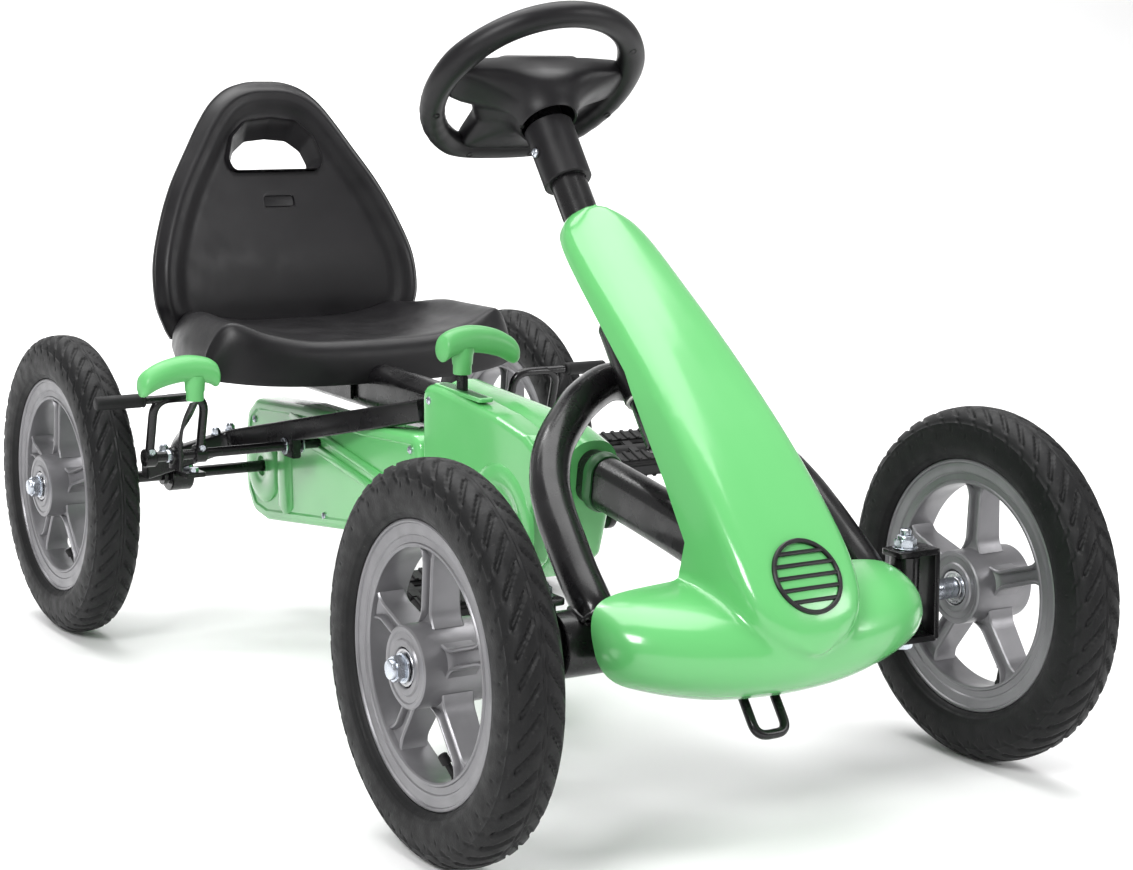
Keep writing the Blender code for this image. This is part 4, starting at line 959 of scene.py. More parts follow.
def make_fairing():
    solid = fairing_solid()
    behind = [(-0.155, 0.469), (-0.1741, 0.4557), (-0.2388, 0.4046), (-0.3171, 0.3455), (-0.3859, 0.2683),
              (-0.419, 0.226), (-0.416, 0.203), (-0.436, 0.157), (-0.455, 0.104), (-0.47, 0.06),
              (-0.3, 0.06), (-0.15, 0.3)]
    cutter = volume("behind", [[Vector((x, y, z)) for y, z in behind] for x in (-0.2, 0.2)], "green_dark")
    modify(solid, "BOOLEAN", operation="DIFFERENCE", object=cutter, material_mode="TRANSFER")
    baked(solid)
    bpy.data.objects.remove(cutter, do_unlink=True)
    open_back(solid.data)
    modify(solid, "SOLIDIFY", thickness=0.0028, offset=-1.0)
    baked(solid)
    solid.data.materials.clear()
    solid.data.materials.append(FINISH["green_shell"])
    solid.data.polygons.foreach_set("material_index", [0] * len(solid.data.polygons))
    smoothed(solid, 38)
    solid.name = "fairing_shell"
    hand_over(solid, "frame", "green_shell", "fairing")
    make_badge()


def open_back(mesh):
    """Drop the faces that a cutter left, so that the shell is open behind and at the nose's ends."""
    cut_slots = [i for i, m in enumerate(mesh.materials) if m and m.name.startswith("green_dark")]
    bm = bmesh.new()
    bm.from_mesh(mesh)
    bmesh.ops.delete(bm, geom=[f for f in bm.faces if f.material_index in cut_slots], context="FACES")
    bm.to_mesh(mesh)
    bm.free()


BADGE_RADIUS = 0.031


def make_badge():
    """A plain ring with louvre bars, let into the front of the mask."""
    shape = Shape("black_plastic")
    ring = [(-0.0012, BADGE_RADIUS - 0.0036), (0.001, BADGE_RADIUS - 0.0034),
            (0.0018, BADGE_RADIUS - 0.0026), (0.0018, BADGE_RADIUS - 0.001), (0.0008, BADGE_RADIUS),
            (-0.0012, BADGE_RADIUS)]
    shape.add(lathe(ring, "Z", 72, hollow=True))
    for k in range(-2, 3):
        y = k * 0.0098
        half = sqrt((BADGE_RADIUS - 0.002) ** 2 - y * y)
        bar = smooth_outline([(-half, y - 0.0016), (half, y - 0.0016), (half, y + 0.0016),
                              (-half, y + 0.0016)], 0.0012, 3)
        shape.add(plate(bar, -0.001, 0.0014, 0.0005, "Z"))
    slope = atan2(0.051, 0.0337)
    place = at((0, -0.4962, 0.2085)) @ Matrix.Rotation(slope, 4, "X")
    piece("fairing_badge", shape, "frame", "black_plastic", place=place)


# Frame tubes

def beam_path(steps=8):
    return spline([(0, -0.395, 0.2005), (0, -0.3, 0.218), (0, -0.2, 0.233), (0, -0.1, 0.245),
                   (0, 0.0, 0.2515), (0, 0.12, 0.2575), (0, 0.4, 0.26)], steps)


def oval(half_width, half_height, count=32):
    straight = half_height - half_width
    points = []
    for k in range(count):
        a = 2 * pi * (k + 0.5) / count
        points.append((half_width * cos(a), half_width * sin(a) + copysign(straight, sin(a))))
    return points


def make_beam():
    shape = Shape("black_paint")
    shape.add(sweep(beam_path(), oval(0.015, 0.024)))
    cap = [(0.0, 0.4, 0.26), (0.0, 0.4015, 0.26), (0.0, 0.4035, 0.26)]
    shape.add(sweep(cap, oval(0.0152, 0.0242), scale=[1.0, 1.0, 0.93]), "black_plastic")
    piece("main_beam_tube", shape, "frame", "black_paint", "main_beam", crease=50)


def make_rear_stays():
    for tag, side in SIGN.items():
        shape = Shape("black_paint")
        path = bent([(side * 0.0262, 0.07, 0.2575), (side * 0.1, 0.362, 0.19), (side * 0.195, 0.36, 0.169)],
                    0.022, 10)
        shape.add(sweep(path, soft_box(0.008, 0.011, 0.003)))
        low, high = sorted((side * 0.0153, side * 0.02))
        shape.add(block((low, 0.052, 0.244), (high, 0.1, 0.269), 0.001))
        for y in (0.06, 0.092):
            shape.add(nut(side * 0.0201, side * 0.0042, 0.0085), "zinc", shifted(0, y, 0.2565))
        x = side * 0.0756
        shape.add(block((x - 0.005, BRAKE.y - 0.012, BRAKE.z - 0.012), (x + 0.005, BRAKE.y + 0.012, 0.214),
                        0.0012))
        shape.add(rounded_cylinder(x - 0.0068, x + 0.0068, 0.0088, 0.0008),
                  place=shifted(0, BRAKE.y, BRAKE.z))
        end = Vector((side * 0.195, 0.36, 0.169))
        shape.add(block(end - Vector((0.0012, 0.0076, 0.0106)), end + Vector((0.0012, 0.0076, 0.0106)),
                        0.0008), "black_plastic")
        for reach in (0.1, 0.116, 0.158, 0.174):
            t = (reach - 0.1) / 0.095
            top = 0.19 - 0.021 * t + 0.011
            shape.add(washer(top - 0.0002, top + 0.001, 0.0026, 0.0058, "Z"), "zinc",
                      shifted(side * reach, 0.361, 0))
            shape.add(nut(top + 0.001, 0.0042, 0.0086, "Z", dome=0.002), "zinc",
                      shifted(side * reach, 0.361, 0))
        piece("rear_stay_tube_" + tag, shape, "frame", "black_paint", "rear_stay_" + tag)

        block_shape = Shape("black_paint")
        x = side * 0.144
        ring = [(x - 0.012, 0.0068), (x - 0.012, 0.0164), (x - 0.0108, 0.0175), (x + 0.0108, 0.0175),
                (x + 0.012, 0.0164), (x + 0.012, 0.0068)]
        block_shape.add(lathe(ring, "X", 48, hollow=True), place=shifted(0, REAR_Y, AXLE_Z))
        block_shape.add(block((x - 0.011, 0.348, 0.156), (x + 0.011, 0.388, 0.1612), 0.0008))
        for y in (0.354, 0.372):
            block_shape.add(nut(0.1614, 0.0044, 0.0085, "Z"), "zinc", shifted(x, y, 0))
        piece("bearing_clamp_" + tag, block_shape, "frame", "black_paint", "bearing_block_" + tag)


# Drive

def make_crank_hanger():
    shape = Shape("black_paint")
    shape.add(tube(-0.029, 0.029, 0.0078, 0.017, 0.001), place=at(CRANK))
    shape.add(block((-0.006, CRANK.y - 0.014, CRANK.z + 0.01), (0.006, CRANK.y + 0.014, 0.2178), 0.001))
    piece("crank_hanger_shell", shape, "frame", "black_paint", "crank_hanger")


def bar_outline(radii, length, waist, heading, steps):
    """A bar with two round ends; waist gives (share of the length, half width) between them."""
    half_turn = [pi * k / steps for k in range(steps + 1)]
    outline = [(radii[0] * cos(pi / 2 + a), radii[0] * sin(pi / 2 + a)) for a in half_turn]
    outline += [(length * s, -h) for s, h in waist]
    outline += [(length + radii[1] * cos(a - pi / 2), radii[1] * sin(a - pi / 2)) for a in half_turn]
    outline += [(length * s, h) for s, h in waist[::-1]]
    c, s = cos(heading), sin(heading)
    return [(u * c - v * s, u * s + v * c) for u, v in outline]


def make_crank():
    """Axle with circlips, two flat arms with bosses, and the pedal spindles."""
    shape = Shape("zinc")
    shape.add(rounded_cylinder(-0.0735, 0.0735, 0.0069, 0.0008), "black_paint", at(CRANK))
    for tag, spot in PEDALS.items():
        side = SIGN[tag]
        reach = spot - CRANK
        heading = atan2(reach.z, reach.y)
        length = hypot(reach.y, reach.z)
        outline = bar_outline((0.015, 0.011), length, ((0.45, 0.0098), (0.75, 0.0102)), heading, 12)
        shape.add(plate(outline, side * 0.062, side * 0.07, 0.0016, "X"), "black_paint", at(CRANK))
        shape.add(nut(side * 0.0701, side * 0.0052, 0.015), place=at(CRANK))
        foot = at((0, spot.y, spot.z))
        shape.add(rounded_cylinder(side * 0.066, side * 0.189, 0.0054, 0.0006), place=foot)
        shape.add(washer(side * 0.0704, side * 0.072, 0.0056, 0.01), place=foot)
        shape.add(nut(side * 0.185, side * 0.0046, 0.012), place=foot)
    shape.add(washer(0.0296, 0.031, 0.0071, 0.0125), place=at(CRANK))
    piece("crank_arms", shape, "crank", "black_paint", "crank")


def pedal_mesh():
    """Two treads with a gap, joined by end cheeks round the spindle, ribbed on both faces."""
    shape = Shape("tread_plastic")
    width, depth, height = 0.088, 0.06, 0.022
    for side in (-1, 1):
        low = (-width / 2, side * 0.0095 if side > 0 else -depth / 2, -height / 2)
        high = (width / 2, depth / 2 if side > 0 else -0.0095, height / 2)
        inner = (Vector(low) + Vector((0, 0, 0.0018)), Vector(high) - Vector((0, 0, 0.0018)))
        shape.add(block(inner[0], inner[1], 0.003, 3))
        for k in range(8):
            x = -width / 2 + 0.0075 + k * (width - 0.015) / 7
            for z in (-1, 1):
                base = sorted((z * (height / 2 - 0.003), z * height / 2))
                shape.add(block((x - 0.002, low[1] + 0.0022, base[0]),
                                (x + 0.002, high[1] - 0.0022, base[1]), 0.0007, 1))
    for x in (-width / 2 + 0.007, 0.0, width / 2 - 0.007):
        shape.add(block((x - 0.0055, -0.011, -0.0088), (x + 0.0055, 0.011, 0.0088), 0.0012))
    sleeve = mirrored([(-0.0436, 0.006), (-0.0436, 0.0086), (-0.043, 0.009)])
    shape.add(lathe(sleeve, "X", 32, hollow=True))
    for side in (-1, 1):
        shape.add(block((-0.03, side * 0.0292 - 0.0014, -0.0045), (0.03, side * 0.0292 + 0.0012, 0.0045),
                        0.0008), "black_plastic")
    return shape.mesh("pedal")


def make_pedals():
    mesh = pedal_mesh()
    for tag, spot in PEDALS.items():
        place = at(spot) @ spun(20)
        piece("pedal_block_" + tag, mesh, "pedal_" + tag, "black_plastic", "pedal_" + tag, place=place)


CHAIN_X = -0.0345


def sprocket_mesh(name, teeth, radius, bore):
    outline = []
    for k in range(teeth):
        for share, reach in ((0.0, 0.0), (0.18, 0.0006), (0.34, 0.0026), (0.44, 0.004), (0.5, 0.0042),
                             (0.56, 0.004), (0.66, 0.0026), (0.82, 0.0006)):
            a = 2 * pi * (k + share) / teeth
            r = radius - 0.0042 + reach
            outline.append((r * cos(a), r * sin(a)))
    shape = Shape("chain_steel")
    shape.add(plate(outline, CHAIN_X - 0.0015, CHAIN_X + 0.0015, 0.0004))
    shape.add(rounded_cylinder(CHAIN_X - 0.0042, CHAIN_X + 0.0075, bore + 0.0058, 0.0006))
    return shape.mesh(name, 40)


def make_sprockets():
    piece("chainring_teeth", sprocket_mesh("chainring_teeth", 16, 0.033, 0.0073), "crank", "chain_steel",
          "chainring", place=at(CRANK))
    piece("rear_sprocket_teeth", sprocket_mesh("rear_sprocket_teeth", 12, 0.0255, 0.0063), "rear_axle",
          "chain_steel", "rear_sprocket", place=at((0, REAR_Y, AXLE_Z)))


def chain_route():
    """Points along the chain's middle line, a link apart."""
    front, rear = Vector((CRANK.y, CRANK.z)), Vector((REAR_Y, AXLE_Z))
    big, small = 0.036, 0.0285
    span = rear - front
    heading, lean = atan2(span.y, span.x), asin((big - small) / span.length)
    dense = []
    for centre, radius, start, sweep_angle in ((front, big, heading + pi / 2 - lean, pi + 2 * lean),
                                               (rear, small, heading - pi / 2 + lean, pi - 2 * lean)):
        for k in range(49):
            a = start + sweep_angle * k / 48
            dense.append(centre + Vector((cos(a), sin(a))) * radius)
    dense.append(dense[0])
    lengths = [0.0]
    for a, b in zip(dense, dense[1:]):
        lengths.append(lengths[-1] + (b - a).length)
    links = 2 * round(lengths[-1] / 0.0127 / 2)
    points = []
    i = 0
    for k in range(links):
        want = lengths[-1] * k / links
        while lengths[i + 1] < want:
            i += 1
        t = (want - lengths[i]) / (lengths[i + 1] - lengths[i])
        points.append(dense[i].lerp(dense[i + 1], t))
    return points


def make_chain():
    shape = Shape("bearing_steel")
    points = chain_route()
    for i, point in enumerate(points):
        after = points[(i + 1) % len(points)]
        reach = after - point
        heading, length = atan2(reach.y, reach.x), reach.length
        outer = i % 2 == 0
        half, thick = 0.004 if outer else 0.0029, 0.0009
        outline = bar_outline((0.0034, 0.0034), length, ((0.5, 0.0026),), heading, 6)
        place = at((CHAIN_X, point.x, point.y))
        for side in (-1, 1):
            shape.add(plate(outline, side * half, side * (half - thick), 0.0002, steps=1), "chain_steel",
                      place)
        shape.add(lathe([(-0.0043, 0.0012), (-0.0041, 0.0016), (-0.002, 0.0017), (-0.0019, 0.0026),
                         (0.0019, 0.0026), (0.002, 0.0017), (0.0041, 0.0016), (0.0043, 0.0012)], "X", 12),
                  place=place)
    piece("roller_chain", shape, "frame", "chain_steel", "chain")


def make_rear_axle():
    shape = Shape("black_paint")
    place = shifted(0, REAR_Y, AXLE_Z)
    outer = WHEEL_X + HUB_HALF_LENGTH
    shape.add(lathe([(-outer - 0.012, 0.006), (outer + 0.012, 0.006)], "X", 32), place=place)
    for side in (-1, 1):
        shape.add(threads(side * (outer + 0.009), side * AXLE_END, 0.0058), "zinc", place)
        for x in (WHEEL_X - HUB_HALF_LENGTH - 0.005, 0.1585):
            shape.add(washer(side * x, side * (x + 0.004), 0.0061, 0.0105), place=place)
    piece("rear_axle_shaft", shape, "rear_axle", "black_paint", "rear_axle")
    for tag, side in SIGN.items():
        shape = Shape("zinc")
        shape.add(washer(side * (outer + 0.0004), side * (outer + 0.0018), 0.0062, 0.0115), place=place)
        shape.add(nut(side * (outer + 0.0019), side * 0.0072, 0.0178, "X", dome=0.0034), place=place)
        piece("rear_axle_nut_" + tag, shape, "rear_axle", "zinc", "rear_nut_" + tag)


# Covers

COVER_OUTLINE = [(0.036, 0.29), (0.0, 0.2895), (-0.1, 0.278), (-0.15, 0.268), (-0.19, 0.248), (-0.18, 0.23),
                 (-0.165, 0.205), (-0.147, 0.152), (-0.118, 0.131), (-0.03, 0.125), (0.036, 0.134)]
CASE_OUTLINE = [(0.0385, 0.24), (0.16, 0.233), (0.3, 0.232), (0.415, 0.224), (0.438, 0.208), (0.446, 0.165),
                (0.441, 0.12), (0.424, 0.098), (0.39, 0.0935), (0.2, 0.117), (0.0385, 0.134)]


HALF_PANEL = [(0.036, 0.26), (-0.145, 0.244), (-0.168, 0.234), (-0.16, 0.205), (-0.143, 0.152),
              (-0.115, 0.129), (-0.03, 0.123), (0.036, 0.132)]


def make_drive_cover():
    """Side panel with the lever slot (a thin dark sheet painted as the slot's shade, not an opening), lower
    left half, arch over the beam and a bulge round the crank.
    """
    shape = Shape("green_shell")
    panel = smooth_outline(COVER_OUTLINE, 0.016, 6)
    shape.add(plate(panel, -0.047, -0.016, 0.006, "X", 5))
    lower = smooth_outline(HALF_PANEL, 0.01, 6)
    shape.add(plate(lower, -0.02, 0.042, 0.009, "X", 6))
    arch = [p for p in beam_path(8) if -0.2 < p.y < 0.04]
    section = []
    for a in angles_of(40):
        u, v = cos(a), sin(a)
        section.append((0.031 * copysign(abs(u) ** 0.8, u), 0.037 * copysign(abs(v) ** 0.8, v)))
    swell = [0.86 + 0.14 * min(1.0, i / 3.0) for i in range(len(arch))]
    shape.add(sweep(arch, section, scale=swell))
    for start, end, finish in ((-0.214, -0.198, "green_dark"), (-0.207, -0.203, "green_shell")):
        collar = [p for p in beam_path(32) if start < p.y < end]
        size = 1.0 if finish == "green_dark" else 1.06
        rim = [0.94] + [1.0] * (len(collar) - 2) + [0.94]
        shape.add(sweep(collar, oval(0.0178 * size, 0.0268 * size, 40), scale=rim), finish)
    bulge = [(-0.044, 0.056), (-0.0472, 0.0545), (-0.0486, 0.0515), (-0.0492, 0.044), (-0.0494, 0.038),
             (-0.0486, 0.0368), (-0.0486, 0.03), (-0.0494, 0.014), (-0.0494, 0.011), (-0.047, 0.0104),
             (-0.044, 0.0104)]
    shape.add(lathe(bulge, "X", 72, hollow=True), place=at(CRANK))
    lip = smooth_outline([(GEAR.x - 0.008, GEAR.y - 0.046), (GEAR.x + 0.008, GEAR.y - 0.046),
                          (GEAR.x + 0.008, GEAR.y + 0.042), (GEAR.x - 0.008, GEAR.y + 0.042)], 0.005)
    shape.add(plate(lip, 0.286, 0.2898, 0.001, "Z"), place=slope_place())
    # The lever slot is not cut open: a thin dark green sheet on the lip paints the shade of the opening
    # round the lever.
    slot = smooth_outline([(GEAR.x - 0.005, GEAR.y - 0.041), (GEAR.x + 0.005, GEAR.y - 0.041),
                           (GEAR.x + 0.005, GEAR.y + 0.037), (GEAR.x - 0.005, GEAR.y + 0.037)], 0.004)
    shape.add(plate(slot, 0.289, 0.2901, 0.0002, "Z"), "green_dark", slope_place())
    for y, z in ((0.022, 0.275), (0.022, 0.15), (-0.128, 0.158)):
        shape.add(screw_head(), "zinc", at((-0.047, y, z)))
    piece("drive_cover_shell", shape, "frame", "green_shell", "drive_cover", crease=40)


def slope_place():
    """The top of the side panel falls a little towards the front."""
    pivot = at((0, GEAR.y, 0.2893))
    return pivot @ spun(2.2) @ pivot.inverted()


def screw_head():
    return lathe([(0.001, 0.004), (-0.0008, 0.0038), (-0.0017, 0.0028), (-0.002, 0.0016), (-0.0013, 0.0013),
                  (-0.0011, 0.0002)], "X", 24)


def make_chain_case():
    """Open-backed shell round the chain: raised rim, two diagonal channels, a bulge at the sprocket."""
    outline = smooth_outline(CASE_OUTLINE, 0.022, 6)
    rows = []
    layers = [(-0.018, 0.0), (-0.04, 0.0004), (-0.044, 0.0012), (-0.0462, 0.0032), (-0.047, 0.0062),
              (-0.047, 0.0105), (-0.0452, 0.0125), (-0.045, 0.015)]
    for x, inset in layers:
        ring = offset([(p.x, p.y) for p in outline], inset) if inset else outline
        rows.append([Vector((x, p.x, p.y)) for p in ring])
    points, faces = net(rows)
    faces.pop(-2)
    inner_rows = []
    for x, inset in ((-0.018, 0.0028), (-0.04, 0.003), (-0.0425, 0.008), (-0.0425, 0.015)):
        inner_rows.append([Vector((x, p.x, p.y)) for p in offset([(p.x, p.y) for p in outline], inset)])
    inner_points, inner_faces = net(inner_rows)
    inner_faces.pop(-2)
    start, size = len(points), len(outline)
    rim = [(j, (j + 1) % size, start + (j + 1) % size, start + j) for j in range(size)]
    faces += [tuple(start + i for i in face) for face in inner_faces] + rim
    shape = Shape().add((points + inner_points, faces), "green_shell")
    for low, high in (((0.06, 0.176), (0.33, 0.218)), ((0.06, 0.16), (0.33, 0.202))):
        path = [Vector((-0.0455, *low)), Vector((-0.0455, *high))]
        path = [path[0].lerp(path[1], t) for t in (0.0, 0.02, 0.5, 0.98, 1.0)]
        shape.add(sweep(path, soft_box(0.0045, 0.0022, 0.0018), up=(1, 0, 0), scale=[0.5, 1, 1, 1, 0.5]),
                  "green_shell")
    hump = [Vector((-0.0445, 0.345, 0.205)), Vector((-0.045, 0.345, 0.196)), Vector((-0.045, 0.345, 0.15)),
            Vector((-0.045, 0.343, 0.118)), Vector((-0.0445, 0.342, 0.109))]
    shape.add(sweep(hump, ring_outline(0.005, 24, 0.016), up=(1, 0, 0), scale=[0.5, 1, 1, 1, 0.5]),
              "green_shell")
    dome = [(-0.044, 0.04), (-0.0468, 0.039), (-0.0484, 0.036), (-0.049, 0.03), (-0.0492, 0.018),
            (-0.0484, 0.0165), (-0.0484, 0.011), (-0.044, 0.0095)]
    shape.add(lathe(dome, "X", 64, hollow=True), "green_shell", shifted(0, REAR_Y, AXLE_Z))
    for y, z in ((0.062, 0.222), (0.062, 0.146), (0.25, 0.124), (0.42, 0.2)):
        shape.add(screw_head(), "zinc", at((-0.0456, y, z)))
    piece("chain_case_shell", shape, "frame", "green_shell", "chain_case", crease=36)


# Levers

GRIP_LINE = [(-0.0235, -0.0075), (-0.012, -0.001), (0.01, 0.002), (0.036, -0.003), (0.057, -0.014)]


def grip_mesh():
    """A bowed grip, fuller in the middle, with a stepped stem off its centre."""
    shape = Shape("green_grip")
    line = spline([(x, z, 0) for x, z in GRIP_LINE], 10)
    path = [Vector((p.x, 0, p.y)) for p in line]
    rows = []
    for i, point in enumerate(path):
        t = i / (len(path) - 1)
        end = min(t, 1 - t)
        round_off = sqrt(max(0.0, 1 - (1 - min(end / 0.085, 1.0)) ** 2))
        fat = (0.0128 + 0.0007 * sin(pi * t)) * (0.42 + 0.58 * round_off)
        rows.append([point + Vector((0, fat * cos(a), 0.94 * fat * sin(a))) for a in angles_of(28)])
    shape.add(net(rows))
    stem = [(-0.03, 0.0078), (-0.0292, 0.0086), (-0.0215, 0.0086), (-0.0205, 0.0094), (-0.012, 0.01),
            (-0.005, 0.0125)]
    shape.add(lathe(stem, "Z", 32))
    return shape.mesh("grip", 45)


def make_gear_lever():
    shape = Shape("black_paint")
    shape.add(block((-0.0025, -0.007, -0.012), (0.0025, 0.007, 0.076), 0.0008), place=at(GEAR))
    shape.add(rounded_cylinder(0.0, 0.019, 0.004, 0.0005), "zinc", at(GEAR))
    piece("gear_lever_bar", shape, "gear_lever", "black_paint", "gear_lever")
    piece("gear_lever_grip", grip_mesh(), "gear_lever", "green_grip", "gear_grip",
          place=at(GEAR + Vector((0, 0, 0.1065))))


def make_brake():
    place = at(BRAKE)
    shaft = Shape().add(rounded_cylinder(-0.235, 0.235, 0.0049, 0.0006), "black_paint", place)
    for x in (-0.085, -0.0662, 0.0662, 0.085):
        shaft.add(washer(x, x + 0.0018, 0.0051, 0.0085), "zinc", place)
    piece("brake_cross_shaft", shaft, "brake", "black_paint", "brake_shaft")
    y, z, foot = -0.016, 0.06, 0.0075
    inner_leg, outer_leg = 0.176, 0.229
    for tag, side in SIGN.items():
        arm = Shape("black_paint")
        path = bent([(side * inner_leg, foot * y / z, foot), (side * inner_leg, y, z),
                     (side * outer_leg, y, z), (side * outer_leg, foot * y / z, foot)], 0.018, 10)
        arm.add(sweep(path, ring_outline(0.0045, 20), up=(0, 1, -y / z)), place=place)
        arm.add(rounded_cylinder(side * 0.2, side * 0.2885, 0.004, 0.0005), place=place @ shifted(0, y, z))
        for x in (side * inner_leg, side * outer_leg):
            arm.add(tube(x - 0.006, x + 0.006, 0.0053, 0.009, 0.0008, "X", 32), place=place)
            arm.add(nut(0.0091, 0.0022, 0.006, "Z"), "zinc", place @ shifted(x, 0, 0)
                    @ Matrix.Rotation(0.9, 4, "X"))
        piece("brake_arm_rod_" + tag, arm, "brake", "black_paint", "brake_arm_" + tag)
        sleeve = Shape("rubber")
        profile = [(0.2392, 0.0042), (0.2392, 0.0064), (0.24, 0.007), (0.241, 0.007), (0.2416, 0.0064),
                   (0.2426, 0.0064), (0.2434, 0.0069), (0.2872, 0.0068), (0.2886, 0.006), (0.2892, 0.004),
                   (0.2893, 0.0015)]
        sleeve.add(lathe([(side * s, r) for s, r in profile], "X", 36), place=place @ shifted(0, y, z))
        piece("brake_sleeve_tube_" + tag, sleeve, "brake", "rubber", "brake_sleeve_" + tag)

    lever = Shape("black_paint")
    middle = -0.2015
    rows = []
    stations = [(-0.014, 0.0, 0.0135, 0.0), (0.0, -0.001, 0.014, 0.0), (0.014, -0.006, 0.011, 0.1),
                (0.03, -0.02, 0.0085, 0.5), (0.046, -0.036, 0.0068, 0.9), (0.06, -0.05, 0.006, 1.0)]
    for rise, forward, half, twist in smooth_stations(stations, 5):
        angle = radians(62) * twist
        row = []
        for u, v in soft_box(half, 0.0019, 0.0012, 3):
            row.append(Vector((middle + v * cos(angle) + u * sin(angle) * 0.9, forward + u * cos(angle) - v
                               * sin(angle), rise)))
        rows.append(row)
    lever.add(net(rows), place=place)
    lever.add(rounded_cylinder(middle - 0.0055, middle + 0.0055, 0.0088, 0.0008), place=place)
    lever.add(nut(middle - 0.0056, -0.004, 0.011), "zinc", place)
    piece("brake_lever_strap", lever, "brake", "black_paint", "brake_lever")
    grip = grip_mesh()
    grip.transform(Matrix.Rotation(pi, 4, "Z"))
    piece("brake_lever_grip", grip, "brake", "green_grip", "brake_grip",
          place=at(BRAKE + Vector((-0.2015, -0.052, 0.092))))


# Seat

# z, y of the edge, half width, hollow depth
BACK_EDGE = [
    (0.291, 0.415, 0.138, 0.01), (0.304, 0.415, 0.145, 0.012), (0.33, 0.415, 0.154, 0.012),
    (0.37, 0.423, 0.153, 0.01), (0.41, 0.436, 0.1405, 0.009), (0.45, 0.45, 0.122, 0.008),
    (0.49, 0.464, 0.0965, 0.006), (0.515, 0.472, 0.08, 0.004), (0.533, 0.477, 0.066, 0.003),
    (0.545, 0.48, 0.0525, 0.002), (0.5525, 0.4815, 0.039, 0.001), (0.557, 0.4825, 0.024, 0.0),
    (0.5585, 0.483, 0.011, 0.0),
]
BACK_LEAN = radians(19)
HAND_HOLE = [(-0.05, -0.015), (0.05, -0.015), (0.055, -0.003), (0.047, 0.022), (0.029, 0.039),
             (0.0, 0.0425), (-0.029, 0.039), (-0.047, 0.022), (-0.055, -0.003)]
HOLE_Z = 0.477


def ramp(value, start, end):
    """0 before start, 1 past end, and smooth between."""
    t = max(0.0, min(1.0, (value - start) / (end - start)))
    return t * t * (3 - 2 * t)


def edge_distance(x, z, outline):
    """How far a point lies from the seat back's outline."""
    x = abs(x)
    best = 1.0
    for (xa, za), (xb, zb) in zip(outline, outline[1:]):
        run, rise = xb - xa, zb - za
        t = max(0.0, min(1.0, ((x - xa) * run + (z - za) * rise) / (run * run + rise * rise)))
        best = min(best, hypot(x - xa - t * run, z - za - t * rise))
    return best


def seat_back_sheet():
    """The dished sheet: its edge rolls back, a broad border stands proud and the middle is sunk."""
    stations = smooth_stations(BACK_EDGE, 6)
    outline = [(width, z) for z, y, width, hollow in stations] + [(0.0, BACK_EDGE[-1][0])]
    rows = []
    for z, y, width, hollow in stations:
        row = []
        for k in range(65):
            u = sin(pi * (k / 64 - 0.5))
            gap = edge_distance(u * width, z, outline)
            roll = 0.015 * (1 - ramp(gap, 0.0, 0.014)) ** 2
            border = 0.006 * (1 - ramp(gap, 0.018, 0.036))
            row.append(Vector((u * width, y + hollow * (1 - u * u) - border + roll, z)))
        rows.append(row)
    return net(rows, around=False)


def scaled(outline, wide, high):
    base = min(z for x, z in outline)
    return [(x * wide, base + (z - base) * high) for x, z in outline]


def make_seat_back():
    """A dished shell with a deep hand hole and a small blanked slot."""
    back = linked("seat_back_shell", Shape().add(seat_back_sheet(),
                                                 "black_plastic").mesh("seat_back_shell", 60))
    turn_towards(back.data, Vector((0, -1, 0)))
    modify(back, "SOLIDIFY", thickness=0.0045, offset=-1.0)
    baked(back)
    slot = smooth_outline([(-0.018, -0.0062), (0.018, -0.0062), (0.018, 0.0062), (-0.018, 0.0062)], 0.004,
                          4)
    for name, outline, z in (("hand_hole", smooth_outline(HAND_HOLE, 0.012, 8), HOLE_Z),
                             ("slot", slot, 0.431)):
        points = [[Vector((p.x, y, z + p.y)) for p in outline] for y in (0.38, 0.6)]
        cutter = volume(name, points, "black_plastic")
        modify(back, "BOOLEAN", operation="DIFFERENCE", object=cutter)
        baked(back)
        bpy.data.objects.remove(cutter, do_unlink=True)
    modify(back, "BEVEL", width=0.001, segments=2, angle_limit=radians(50))
    baked(back)
    smoothed(back, 45)
    hand_over(back, "seat", "black_plastic", "seat_back")
    make_hole_wall()
    recess = Shape().add(plate([(p.x, p.y) for p in slot], 0.0, 0.0012, 0.0004, "Z"), "black_plastic")
    tilt = at((0, 0.4545, 0.431)) @ Matrix.Rotation(radians(90) - BACK_LEAN, 4, "X")
    piece("seat_slot_blank", recess, "seat", "black_plastic", place=tilt)


def make_hole_wall():
    """The tapered wall that runs back from the front edge of the hand hole."""
    layers = [(-0.0035, 1.03, 1.03), (-0.005, 1.005, 1.01), (-0.0035, 0.985, 0.985), (0.0, 0.97, 0.97),
              (0.009, 0.9, 0.85), (0.019, 0.84, 0.7), (0.0205, 0.86, 0.72), (0.019, 0.9, 0.76),
              (0.01, 0.97, 0.9), (0.006, 1.05, 1.05)]
    rows = []
    for depth, wide, high in layers:
        outline = smooth_outline(scaled(HAND_HOLE, wide, high), 0.012, 8)
        rows.append([Vector((p.x, depth, p.y)) for p in outline])
    lean = at((0, 0.464, HOLE_Z + 0.001)) @ Matrix.Rotation(-BACK_LEAN, 4, "X")
    wall = Shape().add(net(rows, along=True), "black_plastic", lean)
    piece("seat_hole_wall", wall, "seat", "black_plastic", "seat_back", crease=40)


def turn_towards(mesh, direction):
    """Flip a sheet whose faces look the wrong way."""
    total = sum((p.normal * p.area for p in mesh.polygons), Vector())
    if total.dot(direction) < 0:
        mesh.flip_normals()


PAN_HALF_WIDTH = 0.1745
PAN_ACROSS = [(0.0, 0.307), (0.07, 0.309), (0.115, 0.318), (0.15, 0.329), (0.169, 0.306),
              (PAN_HALF_WIDTH, 0.28)]
